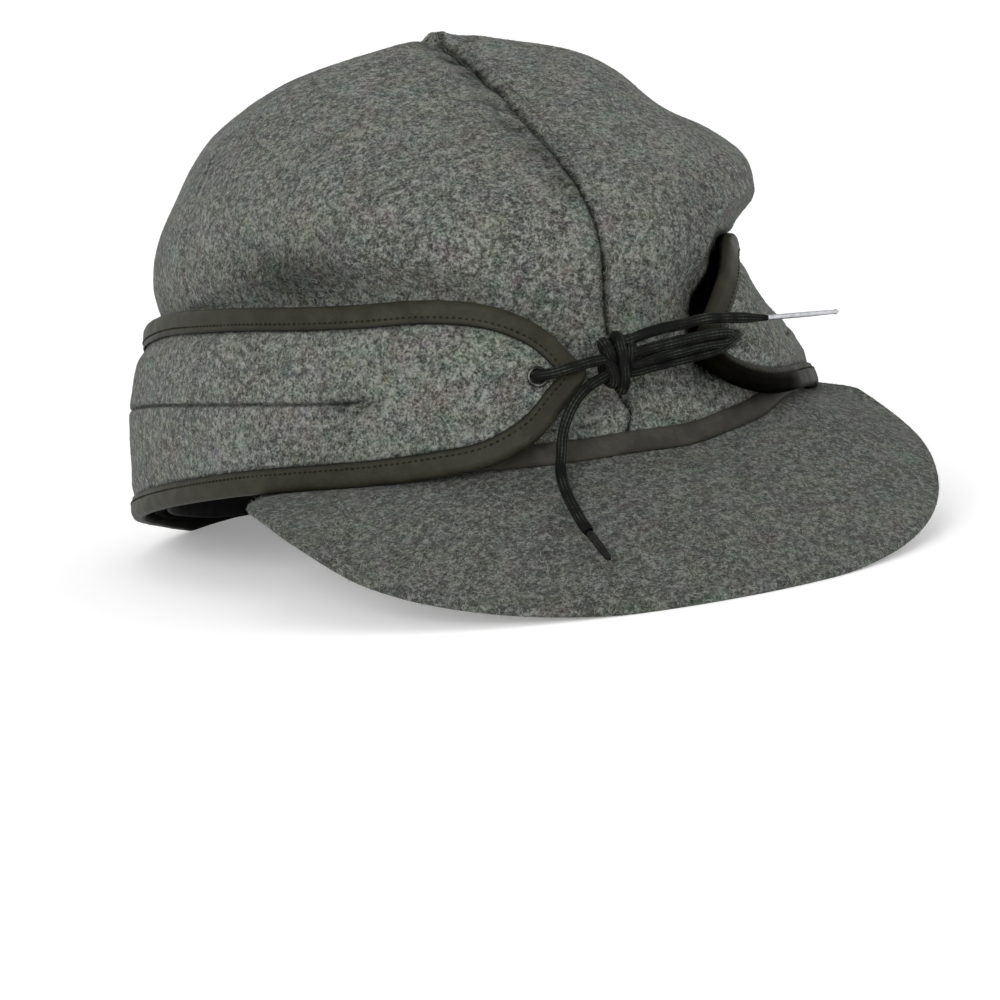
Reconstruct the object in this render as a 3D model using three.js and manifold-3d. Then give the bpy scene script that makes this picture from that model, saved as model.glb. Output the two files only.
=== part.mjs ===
import * as THREE from 'three';
import * as BufferGeometryUtils from 'three/addons/utils/BufferGeometryUtils.js';
import Module from 'manifold-3d';

// A soft wool cap with a short peak and an outer ear band that is tied up at the front.
// Millimetres, +Z up. The peak points to -Y and the wearer's right is -X.
// Shapes are worked out in the cap's own frame, with the rim near z = 0, and the whole cap is then
// tipped to rest on the front of its peak and the back of its rim.
// Angles are degrees round the cap from the front, positive to the wearer's left.

// Driving sizes
const crownWall = 2.5;
const bandWall = 2.0;
const tapeWall = 0.5;
const visorWall = 3.5;
const visorLip = 2.4;
const visorBevel = 1.3;
const sweatWall = 1.2;
const seatGap = 0.3;
const pieceGap = 0.3;
const flangeGap = 0.45;
const visorGap = 0.6;
const sweatGap = 0.9;
const bindingWidth = 6.4;
const millimetresPerDegree = 1.75;
const ringPower = 2.15;
const bandFoot = { side: 92.7, length: 107.8, z: -3 };
const bandHead = { side: 82.9, length: 97.2, z: 50 };
const bandLift = { out: 8, none: 55, full: 14 };
const bandHold = {
  gap: 1.3, above: 6, full: 2, rightFrom: -4, rightFull: -9, leftFrom: 9, leftFull: 14,
};
const bandNose = { right: { at: -7.0, z: 18.2 }, left: { at: 12.4, z: 20.6 } };
const visor = {
  halfWidth: 94.2, middle: -72.2, reach: 85.0, power: 2.06,
  camber: 1.5, camberFrom: 20, camberFull: 50,
  last: 105, lastRoot: 64, taperFrom: { right: 90, left: 97 }, taper: 0.75,
};
const visorTape = { from: -40, to: 42, low: 0.3, high: 5.6, columns: 33 };
const sweatband = { low: 0.8, high: 25, columns: 48, rows: 4 };
const apex = { y: 20.4, z: 117.9 };
const rimFade = 1.6;
const dentCentre = { y: -10, z: 45 };
const laceRadius = 1.4;
const eyelet = { hole: 1.8, barrel: 2.35, flange: 2.9, rim: 0.4 };
const eyeletAt = { right: { at: -14.7, z: 18.8 }, left: { at: 20.0, z: 21.4 } };
const rest = { frontY: -157.2, frontZ: -42.1, slope: 0.1266 };

// Height of the crown's lower edge round the cap
const rim = [
  { at: -180, z: -7.8 }, { at: -165, z: -8.2 }, { at: -150, z: -8.6 }, { at: -128, z: -5.4 },
  { at: -108, z: -2 }, { at: -90, z: -0.4 }, { at: -75, z: -0.4 }, { at: -62, z: -0.7 },
  { at: -50, z: -1.1 }, { at: -38, z: -1.7 }, { at: -30, z: -2.4 }, { at: -20, z: -3.6 },
  { at: -10, z: -4.3 }, { at: 0, z: -4.4 }, { at: 13, z: -4.5 }, { at: 20, z: -2.9 },
  { at: 29, z: -0.6 }, { at: 37, z: 2.8 }, { at: 50, z: 4.4 }, { at: 60, z: 4.0 },
  { at: 69, z: 2.6 }, { at: 80, z: 1.2 }, { at: 90, z: 0.2 }, { at: 108, z: -2 },
  { at: 128, z: -5.4 }, { at: 150, z: -8.6 }, { at: 165, z: -8.2 },
];

// Rings of the crown from its lower edge to the top: how far they reach to the side, front and
// back of the middle, and how high they are there
const crownRings = [
  { at: 0, side: 90.0, front: 105.3, back: 105.3, zSide: 0, zFront: 0, zBack: 0 },
  { at: 1, side: 86.0, front: 102.6, back: 101.0, zSide: 24, zFront: 18, zBack: 20 },
  { at: 2, side: 80.5, front: 102.6, back: 95.5, zSide: 46, zFront: 32, zBack: 44 },
  { at: 3, side: 82.0, front: 106.0, back: 96.5, zSide: 62, zFront: 49, zBack: 62 },
  { at: 4, side: 78.9, front: 100.8, back: 91.8, zSide: 76, zFront: 63, zBack: 78 },
  { at: 5, side: 69.0, front: 89.0, back: 82.0, zSide: 91.5, zFront: 75, zBack: 93 },
  { at: 6, side: 55.0, front: 73.6, back: 60.0, zSide: 103.1, zFront: 86.5, zBack: 106 },
  { at: 7, side: 35.0, front: 54.0, back: 30.0, zSide: 112, zFront: 100, zBack: 114.5 },
  { at: 8, side: 14.7, front: 33.0, back: 0, zSide: 116.2, zFront: 112, zBack: 117.5 },
  { at: 9, side: 0, front: apex.y, back: -apex.y, zSide: apex.z, zFront: apex.z, zBack: apex.z },
];

// Dents and swells of the soft crown, at an angle and a ring, pushed away from the crown's inside
const crownFolds = [
  { at: 66, ring: 2.9, wide: 22, tall: 0.6, out: -0.6 },
  { at: 62, ring: 3.8, wide: 26, tall: 0.45, out: 1.5 },
  { at: 68, ring: 5.35, wide: 24, tall: 0.7, out: -5.7 },
  { at: 64, ring: 7.25, wide: 12, tall: 0.45, out: -2.4 },
  { at: -112, ring: 3.9, wide: 32, tall: 1.6, out: -1.7 },
  { at: 25, ring: 3.4, wide: 9, tall: 0.9, out: -2.2 },
  { at: -62, ring: 3.1, wide: 9, tall: 0.5, out: -3.0 },
  { at: -47, ring: 4.3, wide: 7, tall: 1.2, out: 1.4 },
];

// Lower and upper edge of the ear band from the right nose round the back to the left nose
const bandEdges = [
  { lowAt: -8.9, low: 13.8, topAt: -8.7, top: 23.0, steps: 1 },
  { lowAt: -11.9, low: 9.6, topAt: -10.8, top: 28.2, steps: 1 },
  { lowAt: -15.3, low: 4.4, topAt: -13.5, top: 32.7, steps: 1 },
  { lowAt: -19.3, low: 0.8, topAt: -17.9, top: 37.3, steps: 1 },
  { lowAt: -24.5, low: -1.8, topAt: -23.0, top: 40.5, steps: 2 },
  { lowAt: -32, low: -2.4, topAt: -30.5, top: 43.0, steps: 2 },
  { lowAt: -41, low: -2.2, topAt: -40, top: 44.4, steps: 2 },
  { lowAt: -52, low: -1.2, topAt: -51, top: 46.4, steps: 2 },
  { lowAt: -64, low: -0.2, topAt: -63, top: 49.0, steps: 2 },
  { lowAt: -76, low: -0.2, topAt: -76, top: 51.0, steps: 2 },
  { lowAt: -90, low: -1.0, topAt: -90, top: 52.2, steps: 2 },
  { lowAt: -108, low: -3.2, topAt: -108, top: 51.2, steps: 2 },
  { lowAt: -128, low: -7.0, topAt: -128, top: 49.0, steps: 2 },
  { lowAt: -150, low: -12.6, topAt: -150, top: 47.0, steps: 2 },
  { lowAt: -180, low: -13.0, topAt: -180, top: 46.0, steps: 3 },
  { lowAt: -210, low: -12.6, topAt: -210, top: 47.0, steps: 3 },
  { lowAt: -232, low: -7.0, topAt: -232, top: 49.0, steps: 2 },
  { lowAt: -252, low: -3.2, topAt: -252, top: 50.5, steps: 2 },
  { lowAt: -270, low: -0.8, topAt: -270, top: 51.0, steps: 2 },
  { lowAt: -286, low: 1.8, topAt: -286, top: 50.6, steps: 2 },
  { lowAt: -302, low: 4.6, topAt: -302, top: 50.0, steps: 2 },
  { lowAt: -316, low: 5.2, topAt: -318, top: 49.4, steps: 2 },
  { lowAt: -326, low: 5.0, topAt: -328, top: 47.8, steps: 2 },
  { lowAt: -333, low: 5.4, topAt: -333, top: 43.9, steps: 2 },
  { lowAt: -338.9, low: 7.6, topAt: -338.3, top: 37.6, steps: 2 },
  { lowAt: -343.3, low: 11.0, topAt: -342.0, top: 31.6, steps: 1 },
  { lowAt: -346.0, low: 15.4, topAt: -344.9, top: 26.4, steps: 1 },
];

// How far the loose ear band bellies out, at an angle and a height
const bandBellies = [
  { at: -112, z: 26, wide: 62, tall: 31, out: 5.1 },
  { at: 112, z: 22, wide: 62, tall: 20, out: 4.2 },
  { at: -118, z: -2, wide: 50, tall: 9, out: 1.4 },
  { at: 118, z: -2, wide: 50, tall: 9, out: 1.4 },
  { at: 58, z: 4, wide: 30, tall: 14, out: 2.2 },
  { at: 60, z: 40, wide: 25, tall: 16.5, out: -8.4 },
  { at: -112, z: 44, wide: 34, tall: 5, out: -0.7 },
  { at: 23, z: 38, wide: 9, tall: 12, out: 2.4 },
];

// Height of the peak's outer edge, by the angle on its own outline. Its left end stands higher.
const visorDrop = [
  { at: -105, z: -4.0 }, { at: -90, z: -5.2 }, { at: -75, z: -14.2 }, { at: -60, z: -25.9 },
  { at: -40, z: -36.0 }, { at: -20, z: -41.3 }, { at: 0, z: -42.1 }, { at: 20, z: -41.3 },
  { at: 40, z: -36.0 }, { at: 60, z: -25.9 }, { at: 70, z: -19.0 }, { at: 80, z: -12.2 },
  { at: 90, z: -5.9 }, { at: 95, z: -3.4 }, { at: 100, z: -1.5 }, { at: 105, z: 0.2 },
];

// Middle line of each length of lace, chosen by hand
const lacePaths = {
  lace_tie_right: [
    [-22.4, -112.9, 19.0], [-19.4, -114.0, 19.4], [-15.6, -114.0, 19.9],
    [-11.6, -113.4, 20.3], [-8.6, -112.8, 20.4],
  ],
  lace_tie_left: [
    [30.0, -110.9, 20.4], [26.0, -111.8, 18.7], [20.6, -112.0, 17.9], [12.0, -111.8, 17.2],
    [5.0, -111.5, 16.6], [1.3, -111.2, 16.2],
  ],
  lace_bow: [
    [1.7, -114.2, 21.0], [5.0, -115.2, 21.8], [10.0, -115.9, 22.5], [16.0, -116.2, 23.0],
    [21.5, -115.9, 23.3], [26.0, -115.2, 23.4], [28.9, -114.4, 23.0], [30.2, -114.1, 21.5],
    [29.0, -114.5, 20.0], [26.2, -115.3, 19.7], [21.5, -115.9, 19.9], [16.0, -116.2, 19.6],
    [10.0, -115.9, 19.0], [5.0, -115.2, 18.2], [1.7, -114.3, 17.4],
  ],
  lace_end_left: [
    [1.0, -113.6, 24.8], [4.4, -114.6, 25.7], [9.0, -115.4, 26.3], [14.6, -115.8, 26.7],
    [21.0, -115.4, 26.8], [28.0, -114.2, 26.3], [34.6, -112.6, 25.5], [41.4, -111.0, 24.7],
  ],
  lace_end_right: [
    [-7.4, -111.7, 16.2], [-11.6, -113.4, 15.0], [-15.4, -114.1, 13.2], [-18.6, -113.9, 10.2],
    [-20.8, -113.0, 6.4], [-22.2, -112.2, 2.4], [-23.3, -112.8, -1.2], [-25.4, -115.4, -5.2],
    [-27.0, -119.2, -8.6], [-28.2, -123.6, -11.9], [-29.0, -128.0, -15.1], [-29.4, -132.4, -18.5],
    [-29.5, -135.6, -21.0],
  ],
};
const stopRadius = 2.2;
const laceDepths = [2.6, 1.2, -0.6, -3.0];
const knotAt = { x: -3.6, y: -111.6, z: 19.2 };
const knotWraps = [
  { x: 0, z: 5.0, half: 3.6, deep: 3.4, tall: 3.3 },
  { x: 0.3, z: 0.4, half: 4.4, deep: 4.0, tall: 5.6 },
  { x: 0.6, z: -4.8, half: 3.4, deep: 3.2, tall: 3.6 },
];

const wool = { color: 0x5f6462, roughness: 0.95, metalness: 0 };
const blackTape = { color: 0x2c2a26, roughness: 0.7, metalness: 0 };
const blackCord = { color: 0x1b1c1b, roughness: 0.75, metalness: 0 };
const brightMetal = { color: 0xb9bcc0, roughness: 0.3, metalness: 1 };
const darkMetal = { color: 0x4c4f50, roughness: 0.4, metalness: 1 };

// Tips on the two free ends of the lace
const agletTips = [
  {
    name: 'aglet_silver', from: [41.8, -110.9, 24.75], to: [65.2, -106.0, 23.6],
    radius: 0.75, faces: 10, finish: brightMetal,
  },
  {
    name: 'aglet_dark', from: [-29.5, -136.0, -21.3], to: [-29.2, -144.6, -27.9],
    radius: 1.05, faces: 8, finish: blackCord,
  },
];

// Plain helpers
const rad = Math.PI / 180;
const mix = (a, b, share) => a + (b - a) * share;

function ease(from, to, x) {
  const u = Math.min(1, Math.max(0, (x - from) / (to - from)));
  return u * u * (3 - 2 * u);
}

function hump(offset, width) {
  return Math.exp(-((offset / width) ** 2));
}

function turned(angle) {
  return ((angle + 180) % 360 + 360) % 360 - 180;
}

// Reads one column of a table as a smooth curve; with a turn the table closes on itself
function read(table, column, at, turn = 0) {
  let rows = table.map((row) => [row.at, row[column]]);
  if (turn) {
    const before = rows.slice(-2).map(([x, y]) => [x - turn, y]);
    const after = rows.slice(0, 2).map(([x, y]) => [x + turn, y]);
    rows = [...before, ...rows, ...after];
  }
  const last = rows.length - 1;
  const x = Math.min(rows[last][0], Math.max(rows[0][0], at));
  let i = 0;
  while (i < last - 1 && x > rows[i + 1][0]) i += 1;
  const slope = (k) => (rows[k + 1][1] - rows[k][1]) / (rows[k + 1][0] - rows[k][0]);
  const tangent = (k) => {
    if (k === 0) return slope(0);
    if (k === last) return slope(last - 1);
    const left = rows[k][0] - rows[k - 1][0];
    const right = rows[k + 1][0] - rows[k][0];
    return (slope(k) * left + slope(k - 1) * right) / (left + right);
  };
  const h = rows[i + 1][0] - rows[i][0];
  const u = (x - rows[i][0]) / h;
  const start = (2 * u ** 3 - 3 * u ** 2 + 1) * rows[i][1] + (u ** 3 - 2 * u ** 2 + u) * h * tangent(i);
  const end = (3 * u ** 2 - 2 * u ** 3) * rows[i + 1][1] + (u ** 3 - u ** 2) * h * tangent(i + 1);
  return start + end;
}

// How far a rounded ring reaches at an angle, as shares of its side and its length
function ring(angle, power = ringPower) {
  const s = Math.sin(angle * rad);
  const c = Math.cos(angle * rad);
  const r = (Math.abs(s) ** power + Math.abs(c) ** power) ** (-1 / power);
  return { x: s * r, y: -c * r };
}

// Height of the table under a point of the cap
function tableZ(y) {
  return rest.frontZ + (y - rest.frontY) * rest.slope;
}

// Outer face of the ear band, moved out by some millimetres
function bandFace(angle, z, out = 0) {
  const share = (z - bandFoot.z) / (bandHead.z - bandFoot.z);
  const at = turned(angle);
  let swell = out + bandLift.out * ease(bandLift.none, bandLift.full, Math.abs(at));
  for (const b of bandBellies) swell += b.out * hump(turned(at - b.at), b.wide) * hump(z - b.z, b.tall);
  const side = mix(bandFoot.side, bandHead.side, share) + swell;
  const length = mix(bandFoot.length, bandHead.length, share) + swell;
  const p = ring(at);
  return new THREE.Vector3(side * p.x, length * p.y, z);
}

// Direction away from a surface given by two numbers
function facing(surface, a, b, da, db) {
  const alongA = surface(a + da, b).sub(surface(a - da, b));
  const alongB = surface(a, b + db).sub(surface(a, b - db));
  return alongA.cross(alongB).normalize();
}

const bandThick = bandWall + 2 * (seatGap + tapeWall);
const bandSkin = seatGap + tapeWall;
const bandOut = (angle, z) => facing(bandFace, angle, z, 0.5, 0.5);

function bandAt(angle, z, depth) {
  return bandFace(angle, z).addScaledVector(bandOut(angle, z), -depth);
}

// Where the crown is pinched in behind the band's left nose
const crownTuck = { at: 40, wide: 15, z: 34, tall: 16, deep: 6 };

// Height of the ear band's upper edge
function bandTop(angle) {
  const at = turned(angle);
  const round = at > bandNose.right.at ? at - 360 : at;
  const table = bandEdges.map((row) => ({ at: -row.topAt, top: row.top }));
  return read(table, 'top', -round);
}

// The crown's outer face. Below the ear band's upper edge the band holds the wool in.
function crownFace(angle, t) {
  const at = turned(angle);
  const get = (column) => read(crownRings, column, t);
  const p = ring(at);
  const front = get('front');
  const back = get('back');
  const towards = at === 0 ? -1 : p.y;
  const weight = Math.cos(at * rad) ** 2;
  const x = get('side') * p.x;
  const y = (back - front) / 2 + ((front + back) / 2) * towards;
  const zSide = get('zSide');
  let z = mix(zSide, Math.abs(at) < 90 ? get('zFront') : get('zBack'), weight);
  z += read(rim, 'z', at, 360) * ease(rimFade, 0, t);
  const point = new THREE.Vector3(x, y, z);
  const away = new THREE.Vector3(x, y - dentCentre.y, z - dentCentre.z).normalize();
  for (const f of crownFolds) {
    point.addScaledVector(away, f.out * hump(turned(at - f.at), f.wide) * hump(t - f.ring, f.tall));
  }
  const onRight = ease(bandHold.rightFrom, bandHold.rightFull, at);
  const onLeft = ease(bandHold.leftFrom, bandHold.leftFull, at);
  const top = bandTop(at);
  const held = Math.max(onRight, onLeft) * ease(top + bandHold.above, top + bandHold.full, point.z);
  if (held > 0) {
    const inner = bandFace(at, Math.min(point.z, top), -bandThick - bandHold.gap);
    const most = Math.hypot(inner.x, inner.y);
    const reach = Math.hypot(point.x, point.y);
    const scale = mix(1, Math.min(1, most / reach), held);
    point.x *= scale;
    point.y *= scale;
  }
  const beside = hump(at - crownTuck.at, crownTuck.wide);
  const tuck = crownTuck.deep * beside * hump(point.z - crownTuck.z, crownTuck.tall);
  const tucked = 1 - tuck / Math.max(Math.hypot(point.x, point.y), 1);
  point.x *= tucked;
  point.y *= tucked;
  return point;
}

const crownOut = (angle, t) => facing(crownFace, angle, t, 0.5, 0.02);

function crownAt(angle, t, depth) {
  return crownFace(angle, t).addScaledVector(crownOut(angle, t), -depth);
}

// Turns loose triangles of three points each into one closed body
function body(triangles) {
  const geometry = new THREE.BufferGeometry();
  const positions = triangles.flat().flatMap((p) => [p.x, p.y, p.z]);
  geometry.setAttribute('position', new THREE.Float32BufferAttribute(positions, 3));
  return geometry;
}

// A wall between two matching point grids: the outer face, the inner face and the open sides.
// Faces name their corners anticlockwise as seen from outside.
function wall(faces, outer, inner) {
  const open = new Map();
  for (const [a, b, c] of faces) {
    for (const [from, to] of [[a, b], [b, c], [c, a]]) {
      const back = `${to},${from}`;
      if (open.has(back)) open.delete(back);
      else open.set(`${from},${to}`, [from, to]);
    }
  }
  const triangles = [];
  for (const [a, b, c] of faces) {
    triangles.push([outer[a], outer[b], outer[c]]);
    triangles.push([inner[a], inner[c], inner[b]]);
  }
  for (const [a, b] of open.values()) {
    triangles.push([outer[a], inner[a], inner[b]]);
    triangles.push([outer[a], inner[b], outer[b]]);
  }
  return body(triangles);
}

// Faces of a grid of columns and rows, kept column by column; it may close round
function gridFaces(columns, rows, closed = false) {
  const faces = [];
  for (let i = 0; i < (closed ? columns : columns - 1); i += 1) {
    const next = (i + 1) % columns;
    for (let j = 0; j < rows - 1; j += 1) {
      const a = i * rows + j;
      const b = next * rows + j;
      faces.push([a, b, b + 1], [a, b + 1, a + 1]);
    }
  }
  return faces;
}

// Crown panels between two seams, with their rings closest where the band holds the wool
const panel = {
  columns: 13,
  rings: [0, 0.5, 1.1, 1.7, 2.05, 2.3, 2.55, 2.85, 3.3, 3.9, 4.5, 5.1, 5.7, 6.4, 7.2, 8.1, 8.93],
};

function crownPanel(from, to) {
  const { columns, rings } = panel;
  const outer = [];
  const inner = [];
  for (let i = 0; i < columns; i += 1) {
    for (const t of rings) {
      const angle = mix(from, to, i / (columns - 1));
      const face = crownFace(angle, t);
      const deep = crownAt(angle, t, crownWall);
      if (i === 0 || i === columns - 1) {
        const side = i === 0 ? 1 : -1;
        const tangent = crownFace(angle + 0.5, t).sub(crownFace(angle - 0.5, t)).normalize();
        face.addScaledVector(tangent, side * pieceGap / 2);
        deep.addScaledVector(tangent, side * pieceGap / 2);
      }
      outer.push(face);
      inner.push(deep);
    }
  }
  return wall(gridFaces(columns, rings.length), outer, inner);
}

// Peak, from under the crown's edge to its own outline
function visorEdge(turn) {
  const p = ring(turn, visor.power);
  const x = visor.halfWidth * p.x;
  const y = visor.middle + visor.reach * p.y;
  const z = Math.max(read(visorDrop, 'z', turn), tableZ(y));
  return new THREE.Vector3(x, y, z);
}

function visorRoot(angle) {
  const root = crownFace(angle, 0);
  root.z = read(rim, 'z', angle, 360) - visorGap;
  return root;
}

const visorGrid = { columns: 35, shares: [0, 0.06, 0.25, 0.5, 0.75, 0.96, 1] };

function visorBody() {
  const { columns, shares } = visorGrid;
  const outer = [];
  const inner = [];
  for (let i = 0; i < columns; i += 1) {
    const turn = mix(-visor.last, visor.last, i / (columns - 1));
    const rootAt = turn / visor.last * visor.lastRoot;
    const root = visorRoot(rootAt);
    const inward = new THREE.Vector3(-root.x, -root.y, 0).normalize();
    const heel = root.clone().addScaledVector(inward, crownWall);
    const taperFrom = turn < 0 ? visor.taperFrom.right : visor.taperFrom.left;
    const tucked = visor.taper * ease(taperFrom, visor.last, Math.abs(turn));
    const outline = visorEdge(turn);
    const edge = outline.clone().lerp(root, tucked).setZ(outline.z);
    const top = edge.clone().lerp(root, visorBevel / root.distanceTo(edge)).setZ(edge.z + visorLip);
    const width = root.distanceTo(edge);
    const wallHere = Math.min(visorWall, width);
    for (const share of shares) {
      const rise = visor.camber * Math.sin(Math.PI * share) * ease(visor.camberFrom, visor.camberFull, width);
      const upper = share === 0 ? heel.clone() : root.clone().lerp(top, share);
      upper.z += share === 0 ? 0 : rise;
      const lower = upper.clone();
      lower.z -= mix(wallHere, visorLip, share ** 3);
      if (share === 1) lower.copy(edge);
      outer.push(upper);
      inner.push(lower);
    }
  }
  return wall(gridFaces(columns, shares.length).map(([a, b, c]) => [a, c, b]), outer, inner);
}

// Tape over the seam between crown and peak
function visorTapeBody() {
  const { columns, low, high } = visorTape;
  const heights = [low, (low + high) / 2, high];
  const outer = [];
  const inner = [];
  for (let i = 0; i < columns; i += 1) {
    const angle = mix(visorTape.from, visorTape.to, i / (columns - 1));
    const rimHere = read(rim, 'z', angle, 360);
    for (const height of heights) {
      const t = ringAtHeight(angle, rimHere + height);
      outer.push(crownAt(angle, t, -pieceGap - tapeWall));
      inner.push(crownAt(angle, t, -pieceGap));
    }
  }
  return wall(gridFaces(columns, heights.length), outer, inner);
}

function ringAtHeight(angle, z) {
  let low = 0;
  let high = 3;
  for (let i = 0; i < 24; i += 1) {
    const middle = (low + high) / 2;
    if (crownFace(angle, middle).z < z) low = middle;
    else high = middle;
  }
  return (low + high) / 2;
}

// Band inside the rim
function sweatbandBody() {
  const { columns, rows, low, high } = sweatband;
  const heights = Array.from({ length: rows }, (_, k) => mix(low, high, k / (rows - 1)));
  const outer = [];
  const inner = [];
  for (let i = 0; i < columns; i += 1) {
    const angle = -180 + 360 * i / columns;
    const rimHere = read(rim, 'z', angle, 360);
    for (const height of heights) {
      const t = ringAtHeight(angle, rimHere + height);
      outer.push(crownAt(angle, t, crownWall + sweatGap));
      inner.push(crownAt(angle, t, crownWall + sweatGap + sweatWall));
    }
  }
  return wall(gridFaces(columns, heights.length, true), outer, inner);
}

// Closed outline of the ear band as angle and height, lower edge first, then the upper edge back
function bandOutline() {
  const noseRight = [bandNose.right.at, bandNose.right.z];
  const noseLeft = [bandNose.left.at - 360, bandNose.left.z];
  const low = bandEdges.map((row) => [row.lowAt, row.low]);
  const top = bandEdges.map((row) => [row.topAt, row.top]);
  const corners = [noseRight, ...low, noseLeft, ...top.reverse()];
  const curve = new THREE.CatmullRomCurve3(
    corners.map(([at, z]) => new THREE.Vector3(at * millimetresPerDegree, z, 0)), true, 'centripetal',
  );
  const lowSteps = [2, ...bandEdges.map((row) => row.steps)];
  lowSteps[lowSteps.length - 1] = 2;
  const steps = [...lowSteps, ...[...lowSteps].reverse()];
  const outline = [];
  steps.forEach((count, i) => {
    for (let k = 0; k < count; k += 1) {
      const p = curve.getPoint((i + k / count) / corners.length);
      outline.push({ at: p.x / millimetresPerDegree, z: p.y });
    }
  });
  const rested = (spot) => {
    const floorZ = tableZ(bandFace(spot.at, spot.z).y);
    return { at: spot.at, z: Math.max(spot.z, floorZ), flat: spot.z < floorZ };
  };
  return outline.map(rested);
}

// A spot moved in from the outline, square to it
function inward(outline, i, distance) {
  const n = outline.length;
  const a = outline[(i + n - 1) % n];
  const b = outline[(i + 1) % n];
  const dx = (b.at - a.at) * millimetresPerDegree;
  const dz = b.z - a.z;
  const size = Math.hypot(dx, dz);
  return {
    at: outline[i].at + (dz / size) * distance / millimetresPerDegree,
    z: outline[i].z - (dx / size) * distance,
  };
}

// Largest share of the band's height that its taped border takes, and the rows across it
const mostBorder = 0.3;
const bandRows = 5;

function bandBody(outline) {
  const n = outline.length;
  const edge = outline.map((_, i) => inward(outline, i, bandSkin));
  const spots = [edge[0]];
  const half = n / 2;
  for (let k = 1; k < half; k += 1) {
    const low = edge[k];
    const top = edge[n - k];
    const border = Math.min(mostBorder, bindingWidth / (top.z - low.z));
    for (const share of [0, border, 0.5, 1 - border, 1]) {
      spots.push({ at: mix(low.at, top.at, share), z: mix(low.z, top.z, share) });
    }
  }
  spots.push(edge[half]);
  const faces = gridFaces(half - 1, bandRows).map((face) => face.map((i) => i + 1));
  const lastColumn = 1 + (half - 2) * bandRows;
  for (let j = 0; j < bandRows - 1; j += 1) {
    faces.push([0, 1 + j, 2 + j]);
    faces.push([spots.length - 1, lastColumn + j + 1, lastColumn + j]);
  }
  const outer = spots.map((s) => bandAt(s.at, s.z, bandSkin));
  const inner = spots.map((s) => bandAt(s.at, s.z, bandSkin + bandWall));
  return wall(faces.map(([a, b, c]) => [a, c, b]), outer, inner);
}

// Tape folded over the band's edge: a channel that runs once round the outline.
// Where the cap stands on it, its fold is pressed flat on the table.
function bindingBody(outline) {
  const inFace = bandSkin - seatGap;
  const backFace = bandThick - inFace;
  const section = [
    { depth: 0, in: bindingWidth }, { depth: 0, in: tapeWall }, { depth: tapeWall, in: 0 },
    { depth: bandThick - tapeWall, in: 0 }, { depth: bandThick, in: tapeWall },
    { depth: bandThick, in: bindingWidth }, { depth: backFace, in: bindingWidth },
    { depth: backFace, in: tapeWall }, { depth: inFace, in: tapeWall }, { depth: inFace, in: bindingWidth },
  ];
  const count = outline.length;
  const points = [];
  for (let i = 0; i < count; i += 1) {
    for (const corner of section) {
      const spot = inward(outline, i, corner.in);
      const point = bandAt(spot.at, spot.z, corner.depth);
      if (outline[i].flat && corner.in === 0) point.z = tableZ(point.y);
      points.push(point);
    }
  }
  const triangles = [];
  for (let i = 0; i < count; i += 1) {
    const next = (i + 1) % count;
    for (let j = 0; j < section.length; j += 1) {
      const up = (j + 1) % section.length;
      const a = points[i * section.length + j];
      const b = points[next * section.length + j];
      const c = points[next * section.length + up];
      const d = points[i * section.length + up];
      triangles.push([a, b, c], [a, c, d]);
    }
  }
  return body(triangles);
}

// Solids for cutting and joining
const wasm = await Module();
wasm.setup();

function toSolid(geometry) {
  const plain = geometry.clone();
  plain.deleteAttribute('normal');
  plain.deleteAttribute('uv');
  const merged = BufferGeometryUtils.mergeVertices(plain, 1e-4);
  return new wasm.Manifold(new wasm.Mesh({
    numProp: 3,
    vertProperties: new Float32Array(merged.attributes.position.array),
    triVerts: new Uint32Array(merged.index.array),
  }));
}

function toGeometry(solid) {
  const mesh = solid.getMesh();
  const geometry = new THREE.BufferGeometry();
  geometry.setAttribute('position', new THREE.BufferAttribute(new Float32Array(mesh.vertProperties), 3));
  geometry.setIndex(new THREE.BufferAttribute(new Uint32Array(mesh.triVerts), 1));
  return geometry;
}

// Places a shape made along +Y so that +Y points out of the band at a spot
function onBand(geometry, spot) {
  const out = bandOut(spot.at, spot.z);
  const turn = new THREE.Quaternion().setFromUnitVectors(new THREE.Vector3(0, 1, 0), out);
  const middle = bandAt(spot.at, spot.z, bandThick / 2);
  return geometry.applyQuaternion(turn).translate(middle.x, middle.y, middle.z);
}

function eyeletBody(spot) {
  const half = bandWall / 2 + flangeGap;
  const profile = [
    [eyelet.hole, -half - eyelet.rim], [eyelet.flange, -half - eyelet.rim], [eyelet.flange, -half],
    [eyelet.barrel, -half], [eyelet.barrel, half], [eyelet.flange, half],
    [eyelet.flange, half + eyelet.rim], [eyelet.hole, half + eyelet.rim], [eyelet.hole, -half - eyelet.rim],
  ];
  const geometry = new THREE.LatheGeometry(profile.map(([r, y]) => new THREE.Vector2(r, y)), 16);
  return onBand(geometry, spot);
}

function eyeletHole(spot) {
  return onBand(new THREE.CylinderGeometry(eyelet.barrel + seatGap, eyelet.barrel + seatGap, 12, 16), spot);
}

// Round lace along its middle line
const lace = { faces: 8, stepsPerPoint: 1.4 };

function laceBody(points, radius, faces, steps) {
  const curve = new THREE.CatmullRomCurve3(points.map((p) => new THREE.Vector3(...p)), false, 'centripetal');
  const section = new THREE.Shape();
  for (let i = 0; i < faces; i += 1) {
    const a = (i + 0.5) * 2 * Math.PI / faces;
    if (i === 0) section.moveTo(radius * Math.cos(a), radius * Math.sin(a));
    else section.lineTo(radius * Math.cos(a), radius * Math.sin(a));
  }
  section.closePath();
  return new THREE.ExtrudeGeometry(section, { steps, extrudePath: curve, bevelEnabled: false });
}

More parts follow.
